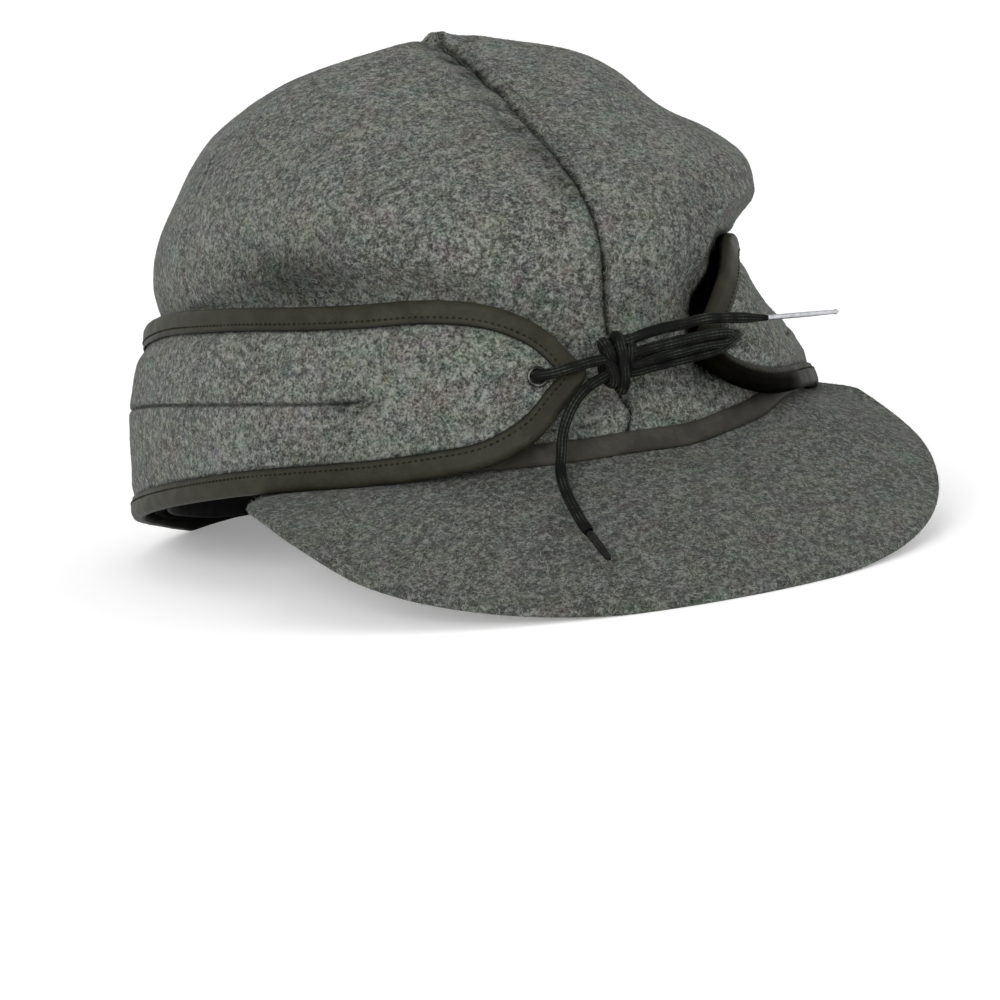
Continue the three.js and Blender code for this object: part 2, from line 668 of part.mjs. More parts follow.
// Knot: three rounded wraps joined into one lump
function knotBody() {
  const parts = knotWraps.map((wrap) => {
    const ball = new THREE.SphereGeometry(1, 10, 7);
    ball.scale(wrap.half, wrap.deep, wrap.tall);
    ball.translate(knotAt.x + wrap.x, knotAt.y, knotAt.z + wrap.z);
    return toSolid(ball);
  });
  return toGeometry(parts[0].add(parts[1]).add(parts[2]));
}

function stopBody(middle) {
  return new THREE.SphereGeometry(stopRadius, 10, 8).translate(middle.x, middle.y, middle.z);
}

// The cap, put together and tipped to rest on the table
const cap = new THREE.Group();
function add(name, geometry, finish) {
  const mesh = new THREE.Mesh(geometry, new THREE.MeshStandardMaterial(finish));
  mesh.name = name;
  cap.add(mesh);
  return mesh;
}

const sideSeam = 87;
add('crown_front_right', crownPanel(-sideSeam, 0), wool);
add('crown_front_left', crownPanel(0, sideSeam), wool);
add('crown_back_left', crownPanel(sideSeam, 180), wool);
add('crown_back_right', crownPanel(-180, -sideSeam), wool);
add('visor', visorBody(), wool);
add('visor_tape', visorTapeBody(), blackTape);
add('sweatband', sweatbandBody(), blackTape);

const outline = bandOutline();
const holes = toSolid(eyeletHole(eyeletAt.right)).add(toSolid(eyeletHole(eyeletAt.left)));
add('ear_band', toGeometry(toSolid(bandBody(outline)).subtract(holes)), wool);
add('ear_band_binding', toGeometry(toSolid(bindingBody(outline)).subtract(holes)), blackTape);
add('eyelet_right', eyeletBody(eyeletAt.right), darkMetal);
add('eyelet_left', eyeletBody(eyeletAt.left), darkMetal);

for (const [side, spot] of Object.entries(eyeletAt)) {
  const through = laceDepths.map((depth) => bandAt(spot.at, spot.z, bandThick / 2 + depth).toArray());
  lacePaths[`lace_tie_${side}`].unshift(...through);
  const stopDepth = bandThick / 2 + laceDepths[0] + pieceGap + stopRadius;
  add(`lace_stop_${side}`, stopBody(bandAt(spot.at, spot.z, stopDepth)), blackCord);
}
for (const [name, points] of Object.entries(lacePaths)) {
  const steps = Math.round(points.length * lace.stepsPerPoint);
  add(name, laceBody(points, laceRadius, lace.faces, steps), blackCord);
}
add('lace_knot', knotBody(), blackCord);
for (const aglet of agletTips) {
  add(aglet.name, laceBody([aglet.from, aglet.to], aglet.radius, aglet.faces, 1), aglet.finish);
}

// The origin is under the middle of the cap's box, measured without the laces
const onLace = (name) => name.startsWith('lace') || name.startsWith('aglet');
const pitch = Math.atan(rest.slope);
cap.rotation.x = -pitch;
cap.updateMatrixWorld(true);
const bounds = new THREE.Box3();
for (const piece of cap.children) {
  if (!onLace(piece.name)) bounds.expandByObject(piece, true);
}
const middle = bounds.getCenter(new THREE.Vector3());
cap.position.set(-middle.x, -middle.y, -bounds.min.z);

const group = new THREE.Group();
group.add(cap);
export default group;
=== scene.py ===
import math

import bpy
import bmesh
import numpy as np
from mathutils import Matrix, Vector


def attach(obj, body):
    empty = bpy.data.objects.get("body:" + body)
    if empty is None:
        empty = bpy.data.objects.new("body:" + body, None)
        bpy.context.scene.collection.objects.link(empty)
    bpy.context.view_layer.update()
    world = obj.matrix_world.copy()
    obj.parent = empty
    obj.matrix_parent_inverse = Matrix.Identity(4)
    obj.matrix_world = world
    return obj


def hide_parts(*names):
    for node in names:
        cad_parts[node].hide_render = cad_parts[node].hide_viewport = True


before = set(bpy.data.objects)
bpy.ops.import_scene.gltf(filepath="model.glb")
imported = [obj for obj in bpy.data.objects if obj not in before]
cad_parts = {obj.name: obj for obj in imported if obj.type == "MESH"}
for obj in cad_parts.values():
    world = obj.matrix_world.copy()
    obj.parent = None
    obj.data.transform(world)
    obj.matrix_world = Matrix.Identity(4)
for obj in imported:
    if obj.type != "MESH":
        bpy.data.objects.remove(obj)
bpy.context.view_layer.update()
scene = bpy.context.scene

# Shapes are worked out in millimetres in the cap's own frame, rim near z = 0, peak to -Y, and then
# tipped and moved to where the cap stands on the table.
table = {"frontY": -157.2, "frontZ": -42.1, "slope": 0.1266}
stand = {"tip": math.atan(table["slope"]), "x": 0.2522, "y": 26.5901, "z": 22.0227}


def placed(points):
    p = np.asarray(points, float)
    c = math.cos(stand["tip"])
    s = math.sin(stand["tip"])
    x = p[..., 0] + stand["x"]
    y = p[..., 1] * c + p[..., 2] * s + stand["y"]
    z = p[..., 2] * c - p[..., 1] * s + stand["z"]
    return np.stack([x, y, z], -1) / 1000


def tableZ(y):
    return table["frontZ"] + (y - table["frontY"]) * table["slope"]


def onTable(points):
    points[..., 2] = np.maximum(points[..., 2], tableZ(points[..., 1]))
    return points


def ease(start, end, x):
    u = np.clip((x - start) / (end - start), 0, 1)
    return u * u * (3 - 2 * u)


def hump(offset, width):
    return np.exp(-((offset / width) ** 2))


def turned(angle):
    return (angle + 180) % 360 - 180


# Even steps, drawn towards both ends by a share
def crowded(start, end, count, share):
    s = np.linspace(0, 1, count)
    return start + (end - start) * ((1 - share) * s + share * (1 - np.cos(math.pi * s)) / 2)


def unit(v):
    return v / np.maximum(np.linalg.norm(v, axis=-1, keepdims=True), 1e-12)


# Reads a short table as a smooth curve; with a turn it closes on itself
def read(rows, column, at, turn=0):
    xs = np.array([row["at"] for row in rows], float)
    ys = np.array([row[column] for row in rows], float)
    if turn:
        xs = np.concatenate([xs[-2:] - turn, xs, xs[:2] + turn])
        ys = np.concatenate([ys[-2:], ys, ys[:2]])
    x = np.clip(at, xs[0], xs[-1])
    i = np.clip(np.searchsorted(xs, x, side="right") - 1, 0, len(xs) - 2)
    step = np.diff(xs)
    slope = np.diff(ys) / step
    tangent = np.empty(len(xs))
    tangent[0] = slope[0]
    tangent[-1] = slope[-1]
    tangent[1:-1] = (slope[1:] * step[:-1] + slope[:-1] * step[1:]) / (step[:-1] + step[1:])
    h = step[i]
    u = (x - xs[i]) / h
    first = (2 * u ** 3 - 3 * u ** 2 + 1) * ys[i] + (u ** 3 - 2 * u ** 2 + u) * h * tangent[i]
    second = (3 * u ** 2 - 2 * u ** 3) * ys[i + 1] + (u ** 3 - u ** 2) * h * tangent[i + 1]
    return first + second


def rows(names, *values):
    keys = names.split()
    return [dict(zip(keys, value)) for value in values]


# Even waves of a few sizes, always the same, for cloth that is never quite flat
ripples = {"waves": 5, "slowest": 0.7, "faster": 0.2, "phase": 6.28}


def ripple(p, size, seed):
    maker = np.random.default_rng(seed)
    total = 0
    for k in range(ripples["waves"]):
        way = unit(maker.normal(size=3))
        pace = 2 * math.pi / size * (ripples["slowest"] + ripples["faster"] * k)
        total = total + np.sin(p @ way * pace + maker.uniform(0, ripples["phase"]))
    return total / ripples["waves"]


# How uneven each cloth lies, in millimetres, and how patchy the folds and the painted shade by the seams
# are
softness = rows(
    "cloth size height seed",
    ("band", 34, 0.32, 3), ("band", 13, 0.14, 4), ("binding", 9, 0.16, 8), ("binding", 4.2, 0.10, 9),
    ("crown", 38, 0.42, 11), ("crown", 15, 0.2, 12), ("valley", 17, 0.8, 14),
    ("seamShade", 15.5, 1.5, 15), ("seamWander", 10, 0.5, 16), ("peak", 42, 0.22, 21),
    ("peak", 17, 0.10, 22), ("tape", 11, 0.12, 31), ("sweatband", 22, 0.18, 41),
)


def uneven(points, cloth):
    waves = [row for row in softness if row["cloth"] == cloth]
    return sum(row["height"] * ripple(points, row["size"], row["seed"]) for row in waves)


# Rounded outline of the cap seen from above, as shares of its half width and half length
def ringShape(angle, power=2.15):
    a = np.radians(angle)
    s = np.sin(a)
    c = np.cos(a)
    r = (np.abs(s) ** power + np.abs(c) ** power) ** (-1 / power)
    return s * r, -c * r


# The camera, at the photo's angle
camera = {
    "turn": -22.6, "rise": 1.0, "roll": 8.9, "distance": 950.0, "focus": 3.49,
    "middlePixel": (474.1, 453.8), "frameSide": 1000.0, "sensor": 36.0, "nearest": 0.01, "farthest": 60,
}


def newThing(name, data):
    thing = bpy.data.objects.new(name, data)
    scene.collection.objects.link(thing)
    return thing


def capDirection(v):
    return Vector(placed(v) - placed((0, 0, 0))) * 1000


def makeCamera():
    a, e, r = (math.radians(camera[key]) for key in ("turn", "rise", "roll"))
    back = np.array([math.sin(a) * math.cos(e), -math.cos(a) * math.cos(e), math.sin(e)])
    flatRight = unit(np.cross(-back, [0, 0, 1.0]))
    flatUp = np.cross(flatRight, -back)
    right = flatRight * math.cos(r) - flatUp * math.sin(r)
    up = flatRight * math.sin(r) + flatUp * math.cos(r)
    data = bpy.data.cameras.new("photoCamera")
    data.sensor_width = camera["sensor"]
    data.lens = camera["focus"] * camera["distance"] * camera["sensor"] / camera["frameSide"]
    half = camera["frameSide"] / 2
    data.shift_x = (half - camera["middlePixel"][0]) / camera["frameSide"]
    data.shift_y = (camera["middlePixel"][1] - half) / camera["frameSide"]
    data.clip_start = camera["nearest"]
    data.clip_end = camera["farthest"]
    eye = newThing("photoCamera", data)
    axes = [capDirection(v) for v in (right, up, back)]
    turnTo = Matrix(axes).transposed().to_4x4()
    eye.matrix_world = Matrix.Translation(Vector(placed(back * camera["distance"]))) @ turnTo
    scene.camera = eye


makeCamera()
print("camera set")


# Meshes from grids of points: columns run round the cap, rows run up it
def gridQuads(columns, count, closedU=False, closedV=False, start=0):
    i = np.arange(columns if closedU else columns - 1)
    j = np.arange(count if closedV else count - 1)
    i, j = (g.ravel() for g in np.meshgrid(i, j, indexing="ij"))
    iNext = (i + 1) % columns
    jNext = (j + 1) % count
    quads = np.stack([i * count + j, iNext * count + j, iNext * count + jNext, i * count + jNext], 1)
    return quads + start


weld = {"merge": 2e-6, "smallest": 1e-7}


def makeMesh(name, points, faces, uv=None, marks=None):
    mesh = bpy.data.meshes.new(name)
    mesh.from_pydata(points.tolist(), [], [list(map(int, f)) for f in faces])
    if uv is not None:
        layer = mesh.uv_layers.new(name="run")
        index = np.empty(len(mesh.loops), int)
        mesh.loops.foreach_get("vertex_index", index)
        layer.data.foreach_set("uv", uv[index].astype(np.float32).ravel())
    for label, values in (marks or {}).items():
        mark = mesh.attributes.new(label, "FLOAT", "POINT")
        mark.data.foreach_set("value", np.asarray(values, np.float32).ravel())
    work = bmesh.new()
    work.from_mesh(mesh)
    bmesh.ops.remove_doubles(work, verts=work.verts, dist=weld["merge"])
    bmesh.ops.dissolve_degenerate(work, edges=work.edges, dist=weld["smallest"])
    for face in work.faces:
        face.smooth = True
    work.to_mesh(mesh)
    work.free()
    mesh.validate()
    return newThing(name, mesh)


# A closed wall between an outer and an inner grid
def makeShell(name, outer, inner, marks, innerShade=0.0, flip=False):
    columns, count = outer.shape[:2]
    half = columns * count
    ids = np.arange(half).reshape(columns, count)
    faces = [gridQuads(columns, count), gridQuads(columns, count, start=half)[:, ::-1]]
    for edge in (ids[:, 0], ids[::-1, -1], ids[0, ::-1], ids[-1, :]):
        a = edge[:-1]
        b = edge[1:]
        faces.append(np.stack([b, a, a + half, b + half], 1))
    faces = np.concatenate(faces)
    if flip:
        faces = faces[:, ::-1]
    points = placed(np.concatenate([outer.reshape(-1, 3), inner.reshape(-1, 3)]))
    # The inner wall gets no loose fibres, and innerShade as its painted shade
    within = {"shown": np.zeros(half), "shade": np.ravel(innerShade + np.zeros((columns, count)))}
    both = {label: np.concatenate([values.ravel(), within[label]]) for label, values in marks.items()}
    return makeMesh(name, points, faces, marks=both)


# Millimetres along a sweep for one unit of its map
uvLength = 10.0


# A closed band swept from a closed section
def makeSweep(name, points, closed=True, flip=False, uv=None, marks=None):
    columns, count = points.shape[:2]
    faces = gridQuads(columns, count, closed, True)
    faces = list(faces[:, ::-1] if flip else faces)
    if not closed:
        first = list(range(count))
        last = [(columns - 1) * count + k for k in range(count)]
        faces.append(first if flip else first[::-1])
        faces.append(last[::-1] if flip else last)
    flatUv = None if uv is None else uv.reshape(-1, 2)
    return makeMesh(name, placed(points.reshape(-1, 3)), faces, flatUv, marks)


def smoothCurve(corners, closed, perSpan):
    p = np.asarray(corners, float)
    n = len(p)
    if closed:
        ring4 = [p[(np.arange(n) + k) % n] for k in (-1, 0, 1, 2)]
    else:
        ends = np.concatenate([[2 * p[0] - p[1]], p, [2 * p[-1] - p[-2]]])
        ring4 = [ends[k:k + n - 1] for k in range(4)]
    out = []
    for i in range(len(ring4[0])):
        a, b, c, d = (r[i] for r in ring4)
        t0, t1, t2 = (max(math.sqrt(np.linalg.norm(v)), 1e-3) for v in (b - a, c - b, d - c))
        m1 = ((b - a) / t0 - (c - a) / (t0 + t1) + (c - b) / t1) * t1
        m2 = ((c - b) / t1 - (d - b) / (t1 + t2) + (d - c) / t2) * t1
        count = perSpan[i] if isinstance(perSpan, (list, np.ndarray)) else perSpan
        u = (np.arange(count) / count)[:, None]
        out.append(b + m1 * u + (3 * (c - b) - 2 * m1 - m2) * u ** 2 + (2 * (b - c) + m1 + m2) * u ** 3)
    if not closed:
        out.append(p[-1:])
    return np.concatenate(out)


# Lace: round braid of small strands along a smooth route
lace = {
    "radius": 1.4, "sides": 40, "step": 0.27, "ribs": 10, "pitch": 1.3, "relief": 0.17, "stitchShare": 0.3,
    "level": 0.6, "cutEnd": 0.86, "cutRun": 0.8, "point": 0.42, "pointRun": 9.0,
}
laceRoutes = {
    "tieRight": [
        (-22.4, -112.9, 19.0), (-19.4, -114.0, 19.4), (-15.6, -114.0, 19.9),
        (-11.6, -113.4, 20.3), (-8.6, -112.8, 20.4), (-6.0, -112.1, 20.3),
    ],
    "tieLeft": [
        (30.0, -110.9, 20.4), (26.0, -111.8, 18.7), (20.6, -112.0, 17.9), (12.0, -111.8, 17.2),
        (5.0, -111.5, 16.6), (1.3, -111.2, 16.2), (-1.2, -111.3, 16.3),
    ],
    "bow": [
        (-0.8, -113.2, 20.6), (1.7, -114.4, 21.0), (5.0, -115.5, 21.5), (10.0, -116.3, 22.0),
        (16.0, -116.7, 22.4), (21.0, -116.6, 22.6), (25.0, -116.1, 22.5), (27.4, -115.3, 22.1),
        (28.3, -114.6, 21.3), (27.6, -114.2, 20.5), (25.4, -114.3, 20.3), (21.0, -115.0, 20.3),
        (16.0, -115.4, 20.0), (10.0, -115.3, 19.4), (5.0, -114.8, 18.7), (1.7, -114.1, 18.0),
        (-0.8, -113.2, 17.6),
    ],
    "endLeft": [
        (-1.2, -112.8, 24.2),
        (1.0, -113.6, 24.6), (4.4, -114.6, 25.4), (9.0, -115.4, 26.0), (14.6, -115.8, 26.3),
        (21.0, -115.4, 26.8), (28.0, -114.2, 26.3), (34.6, -112.6, 25.5), (41.4, -111.0, 24.7),
    ],
    "endRight": [
        (-4.9, -111.5, 17.4),
        (-7.4, -111.7, 16.2), (-11.6, -113.4, 15.0), (-15.4, -114.1, 13.2), (-18.6, -113.9, 10.2),
        (-20.8, -113.0, 6.4), (-22.2, -112.2, 2.4), (-23.3, -112.8, -1.2), (-25.4, -115.4, -5.2),
        (-27.0, -119.2, -8.6), (-28.2, -123.6, -11.9), (-29.0, -128.0, -15.1), (-29.4, -132.4, -18.5),
        (-29.5, -135.6, -21.0),
    ],
}


routeSteps = 24


def runAlong(route):
    return np.concatenate([[0], np.cumsum(np.linalg.norm(np.diff(route, axis=0), axis=1))])


def readAlong(marks, run, values):
    return np.stack([np.interp(marks, run, values[:, k]) for k in range(3)], 1)


def evenRoute(corners, step, closed=False):
    fine = smoothCurve(corners, closed, routeSteps)
    if closed:
        fine = np.concatenate([fine, fine[:1]])
    run = runAlong(fine)
    count = max(4, int(round(run[-1] / step)))
    marks = np.linspace(0, run[-1], count + 1)
    return readAlong(marks, run, fine), marks


# Two directions square to a route that turn as little as they can
def carried(route):
    along = unit(np.gradient(route, axis=0))
    side = np.empty_like(route)
    start = np.array([0, 0, 1.0]) if abs(along[0][2]) < 0.9 else np.array([1.0, 0, 0])
    side[0] = unit(start - along[0] * (start @ along[0]))
    for i in range(1, len(route)):
        s = side[i - 1] - along[i] * (side[i - 1] @ along[i])
        side[i] = s / np.linalg.norm(s)
    return side, np.cross(along, side)


# Ribs of yarn run along the lace, crossed by short slanting stitches
def laceTube(name, corners, closed=False, point=0.0):
    route, marks = evenRoute(corners, lace["step"], closed)
    side, over = carried(route)
    turn = np.arange(lace["sides"]) / lace["sides"]
    s, v = np.meshgrid(marks, turn, indexing="ij")
    if closed:
        twist = math.atan2(side[-1] @ over[0], side[-1] @ side[0]) / (2 * math.pi)
        v = v + twist * s / marks[-1]
        laps = max(1, round(marks[-1] / lace["pitch"])) / marks[-1]
        s, v, route, side, over = s[:-1], v[:-1], route[:-1], side[:-1], over[:-1]
    else:
        laps = 1 / lace["pitch"]
    rib = 0.5 + 0.5 * np.cos(2 * math.pi * lace["ribs"] * v)
    slant = 0.5 + 0.5 * np.cos(2 * math.pi * s * laps + math.pi * np.cos(math.pi * lace["ribs"] * v))
    strands = rib * (1 - lace["stitchShare"] + lace["stitchShare"] * slant)
    radius = lace["radius"] + lace["relief"] * (strands - lace["level"])
    if not closed:
        nearEnd = ease(0, lace["cutRun"], np.minimum(s, marks[-1] - s))
        radius = radius * (lace["cutEnd"] + (1 - lace["cutEnd"]) * nearEnd)
        radius = radius * (1 - point * ease(marks[-1] - lace["pointRun"], marks[-1], s))
    a = 2 * math.pi * v
    points = route[:, None] + radius[..., None] * (
        np.cos(a)[..., None] * side[:, None] + np.sin(a)[..., None] * over[:, None])
    uv = np.stack([s / uvLength, v], -1)
    return makeSweep(name, points, closed=closed, uv=uv), route, marks[-1]


pieces = {}
routes = {}
for key, corners in laceRoutes.items():
    if key.startswith("tie"):
        continue
    name = "lace" + key[0].upper() + key[1:]
    point = lace["point"] if key == "endLeft" else 0.0
    pieces[name], routes[name], routes[name + "Length"] = laceTube(name, corners, point=point)
print("free lace made")

# Ear band: a wool wall round the outside, with a rounded nose at each end
# edgeShade and edgeFade paint a shadow line into the wool along the binding's inner edge
band = {
    "footSide": 92.7, "footLength": 107.8, "footZ": -3.0, "headSide": 82.9, "headLength": 97.2,
    "headZ": 50.0, "liftOut": 8.0, "liftNone": 55.0, "liftFull": 14.0,
    "wall": 2.0, "skin": 0.8, "puff": 1.05, "puffWidth": 4.2, "perDegree": 1.75, "holdGap": 1.3,
    "columnStep": 1.3, "rows": 46, "rowShare": 0.25, "underTape": 6.4, "puffFrom": -0.3, "softEdge": (0, 6),
    "edgeShade": 0.75, "edgeFade": (1.1, -0.2),
}
band["thick"] = band["wall"] + 2 * band["skin"]
bandNose = {"right": (-7.0, 18.2), "left": (12.4 - 360, 20.6)}
bandEdges = rows(
    "lowAt low topAt top",
    (-8.9, 13.8, -8.7, 23.0), (-11.9, 9.6, -10.8, 28.2), (-15.3, 4.4, -13.5, 32.7),
    (-19.3, 0.8, -17.9, 37.3), (-24.5, -1.8, -23.0, 40.5), (-32, -2.4, -30.5, 43.0),
    (-41, -2.2, -40, 44.4), (-52, -1.2, -51, 46.4), (-64, -0.2, -63, 49.0), (-76, -0.2, -76, 51.0),
    (-90, -1.0, -90, 52.2), (-108, -3.2, -108, 51.2), (-128, -7.0, -128, 49.0),
    (-150, -12.6, -150, 47.0), (-180, -13.0, -180, 46.0), (-210, -12.6, -210, 47.0),
    (-232, -7.0, -232, 49.0), (-252, -3.2, -252, 50.5), (-270, -0.8, -270, 51.0),
    (-286, 1.8, -286, 50.6), (-302, 4.6, -302, 50.0), (-316, 5.2, -318, 49.4),
    (-326, 5.0, -328, 47.8), (-333, 5.4, -333, 43.9), (-338.9, 7.6, -338.3, 37.6),
    (-343.3, 11.0, -342.0, 31.6), (-346.0, 15.4, -344.9, 26.4),
)
bandBellies = rows(
    "at z wide tall out",
    (-112, 26, 62, 31, 5.1), (112, 22, 62, 20, 4.2), (-118, -2, 50, 9, 1.4), (118, -2, 50, 9, 1.4),
    (58, 4, 30, 14, 2.2), (60, 40, 25, 16.5, -8.4), (-112, 46, 34, 6, -1.5), (23, 38, 9, 12, 2.4),
)
# Dart across each ear, from its front end back, and the pucker at its front end
bandDart = rows("at z", (41.6, 19.3), (47.7, 20.2), (63.1, 23.3), (93.4, 27.5), (122, 27.0))
# shade, shadeWidth and puckerShade paint shade along the dart's groove and into its pucker; the puckers'
# shade column is painted shade too
dart = {
    "depth": 1.25, "width": 0.45, "inner": 0.3, "shade": 0.55, "shadeWidth": 0.5,
    "front": (40.6, 43.5), "back": (126, 94), "pullFront": (30, 44), "pullBack": (136, 120),
    "lip": 0.25, "lipAt": 2.2, "lipWidth": 1.4, "end": 43.5, "rows": (0.22, 0.5, 0.9, 1.4), "tall": 52,
    "puckerShade": 0.5,
}
puckers = rows(
    "away wide across tall depth shade",
    (2, 3.0, -1.6, 2.6, 1.1, 1.0), (7, 2.6, -1.0, 1.6, 0.55, 0.5), (6, 4, 2.8, 1.8, -0.5, 0.0),
)


def bandFace(angle, z, out=0):
    angle, z = np.broadcast_arrays(np.asarray(angle, float), np.asarray(z, float))
    share = (z - band["footZ"]) / (band["headZ"] - band["footZ"])
    at = turned(angle)
    swell = out + band["liftOut"] * ease(band["liftNone"], band["liftFull"], np.abs(at))
    for b in bandBellies:
        swell = swell + b["out"] * hump(turned(at - b["at"]), b["wide"]) * hump(z - b["z"], b["tall"])
    side = band["footSide"] + (band["headSide"] - band["footSide"]) * share + swell
    length = band["footLength"] + (band["headLength"] - band["footLength"]) * share + swell
    x, y = ringShape(at)
    return np.stack([side * x, length * y, z], -1)


def facing(surface, a, b, da, db):
    alongA = surface(a + da, b) - surface(a - da, b)
    alongB = surface(a, b + db) - surface(a, b - db)
    return unit(np.cross(alongA, alongB))


def bandOut(angle, z):
    return facing(bandFace, angle, z, 0.5, 0.5)


def bandAt(angle, z, depth):
    return bandFace(angle, z) - bandOut(angle, z) * np.asarray(depth)[..., None]


def bandTop(angle):
    at = turned(angle)
    around = np.where(at > bandNose["right"][0], at - 360, at)
    flipped = [{"at": -row["topAt"], "top": row["top"]} for row in bandEdges]
    return read(flipped, "top", -around)


# Closed outline of the band, lower edge first, as angle and height
def bandOutline(spacing):
    low = [(row["lowAt"], row["low"]) for row in bandEdges]
    top = [(row["topAt"], row["top"]) for row in bandEdges]
    corners = np.array([bandNose["right"], *low, bandNose["left"], *top[::-1]], float)
    corners[:, 0] *= band["perDegree"]
    half = len(bandEdges) + 1
    gaps = np.linalg.norm(np.roll(corners, -1, 0) - corners, axis=1)
    counts = [max(2, int(math.ceil(max(gaps[k], gaps[2 * half - 1 - k]) / spacing))) for k in range(half)]
    curve = smoothCurve(corners, True, counts + counts[::-1])
    curve[:, 0] /= band["perDegree"]
    floor = tableZ(bandFace(curve[:, 0], curve[:, 1])[:, 1])
    curve[:, 1] = np.maximum(curve[:, 1], floor)
    return curve


def movedIn(outline, distance):
    step = np.roll(outline, -1, 0) - np.roll(outline, 1, 0)
    dx = step[:, 0] * band["perDegree"]
    dz = step[:, 1]
    size = np.hypot(dx, dz)
    at = outline[:, 0] + dz / size * distance / band["perDegree"]
    return np.stack([at, outline[:, 1] - dx / size * distance], 1)


outline = bandOutline(band["columnStep"])


def makeBand():
    n = len(outline)
    half = n // 2
    edge = movedIn(outline, band["skin"])
    low = np.concatenate([edge[:half], edge[half:half + 1]])
    top = np.concatenate([edge[:1], edge[half + 1:][::-1], edge[half:half + 1]])
    size = np.hypot((top - low)[:, 0] * band["perDegree"], (top - low)[:, 1])
    middle = (low + top) / 2
    at = turned(middle[:, 0])
    side = np.abs(at)
    dartZ = read(bandDart, "z", side)
    onDart = (ease(*dart["front"], side) * ease(*dart["back"], side))[:, None]
    near = ease(*dart["pullFront"], side) * ease(*dart["pullBack"], side)
    raw = (dartZ - low[:, 1]) / np.maximum(top[:, 1] - low[:, 1], 1)
    dartShare = 0.5 + (raw - 0.5) * near
    s = crowded(0, 1, band["rows"], band["rowShare"])
    byDart = np.array([0, *dart["rows"], *(-r for r in dart["rows"])]) / dart["tall"]
    s = np.sort(np.concatenate([s, 0.5 + byDart]))
    share = s[None] + (dartShare[:, None] - 0.5) * (1 - np.abs(2 * s[None] - 1))
    spotAt = low[:, None, 0] + (top - low)[:, None, 0] * share
    spotZ = low[:, None, 1] + (top - low)[:, None, 1] * share
    inside = np.minimum(share, 1 - share) * size[:, None] - (band["underTape"] - band["skin"])
    across = (share - dartShare[:, None]) * size[:, None]
    groove = dart["depth"] * hump(across, dart["width"]) * onDart
    groove = groove - dart["lip"] * hump(np.abs(across) - dart["lipAt"], dart["lipWidth"]) * onDart
    away = np.abs(spotAt + dart["end"]) * band["perDegree"]
    puckerPaintedShade = 0
    for p in puckers:
        dent = hump(away - p["away"], p["wide"]) * hump(across - p["across"], p["tall"])
        groove = groove + p["depth"] * dent
        puckerPaintedShade = puckerPaintedShade + p["shade"] * dent
    spots = bandFace(spotAt, spotZ)
    wavy = uneven(spots, "band") * ease(*band["softEdge"], inside)
    puff = band["puff"] * ease(band["puffFrom"], band["puffWidth"], inside) + wavy
    for row in (eyeletRight, eyeletLeft):
        reach = np.hypot(turned(spotAt - row["at"]) * band["perDegree"], spotZ - row["z"])
        puff = puff * ease(*eyelet["flatRing"], reach)
    outer = bandAt(spotAt, spotZ, band["skin"] - puff + groove)
    innerDepth = np.full_like(spotZ, band["skin"] + band["wall"]) + dart["inner"] * groove
    inner = bandAt(spotAt, spotZ, innerDepth)
    # Painted shade along the dart's groove and in its pucker, and a painted shadow line in the wool along
    # the binding's inner edge
    shade = dart["shade"] * hump(across, dart["shadeWidth"]) * onDart
    shade = shade + dart["puckerShade"] * np.clip(puckerPaintedShade, 0, 1)
    shade = np.maximum(shade, band["edgeShade"] * ease(*band["edgeFade"], inside))
    marks = {"shown": inside > 0, "shade": shade}
    return makeShell("earBand", onTable(outer), onTable(inner), marks, flip=True)


eyelet = {
    "hole": 1.75, "flange": 2.8, "rise": 0.5, "steepest": 0.55, "back": 2.35, "overWall": 0.45, "sides": 40,
    "flatRing": (2.4, 5.5),
}
eyeletRight = {"at": -14.7, "z": 18.8}
eyeletLeft = {"at": 20.0, "z": 21.4}

pieces["earBand"] = makeBand()
print("ear band made")

# Binding: satin tape folded over the band's whole edge
binding = {"width": 6.4, "wall": 0.5, "puff": 0.45, "noseGroove": 0.6, "nearNose": (34, 22)}
# Painted shade on the binding, where it lies in shade: under the left nose, beside it towards the ear, and
# at the back
bindingShade = {
    "low": (29, 22), "nose": (10, 14), "noseEnd": (44, 32), "noseDark": 0.97, "noseFold": (0.8, 3.4),
    "beside": (36, 44), "besideEnd": (74, 56), "besideDark": 0.4, "backDark": 0.85,
}


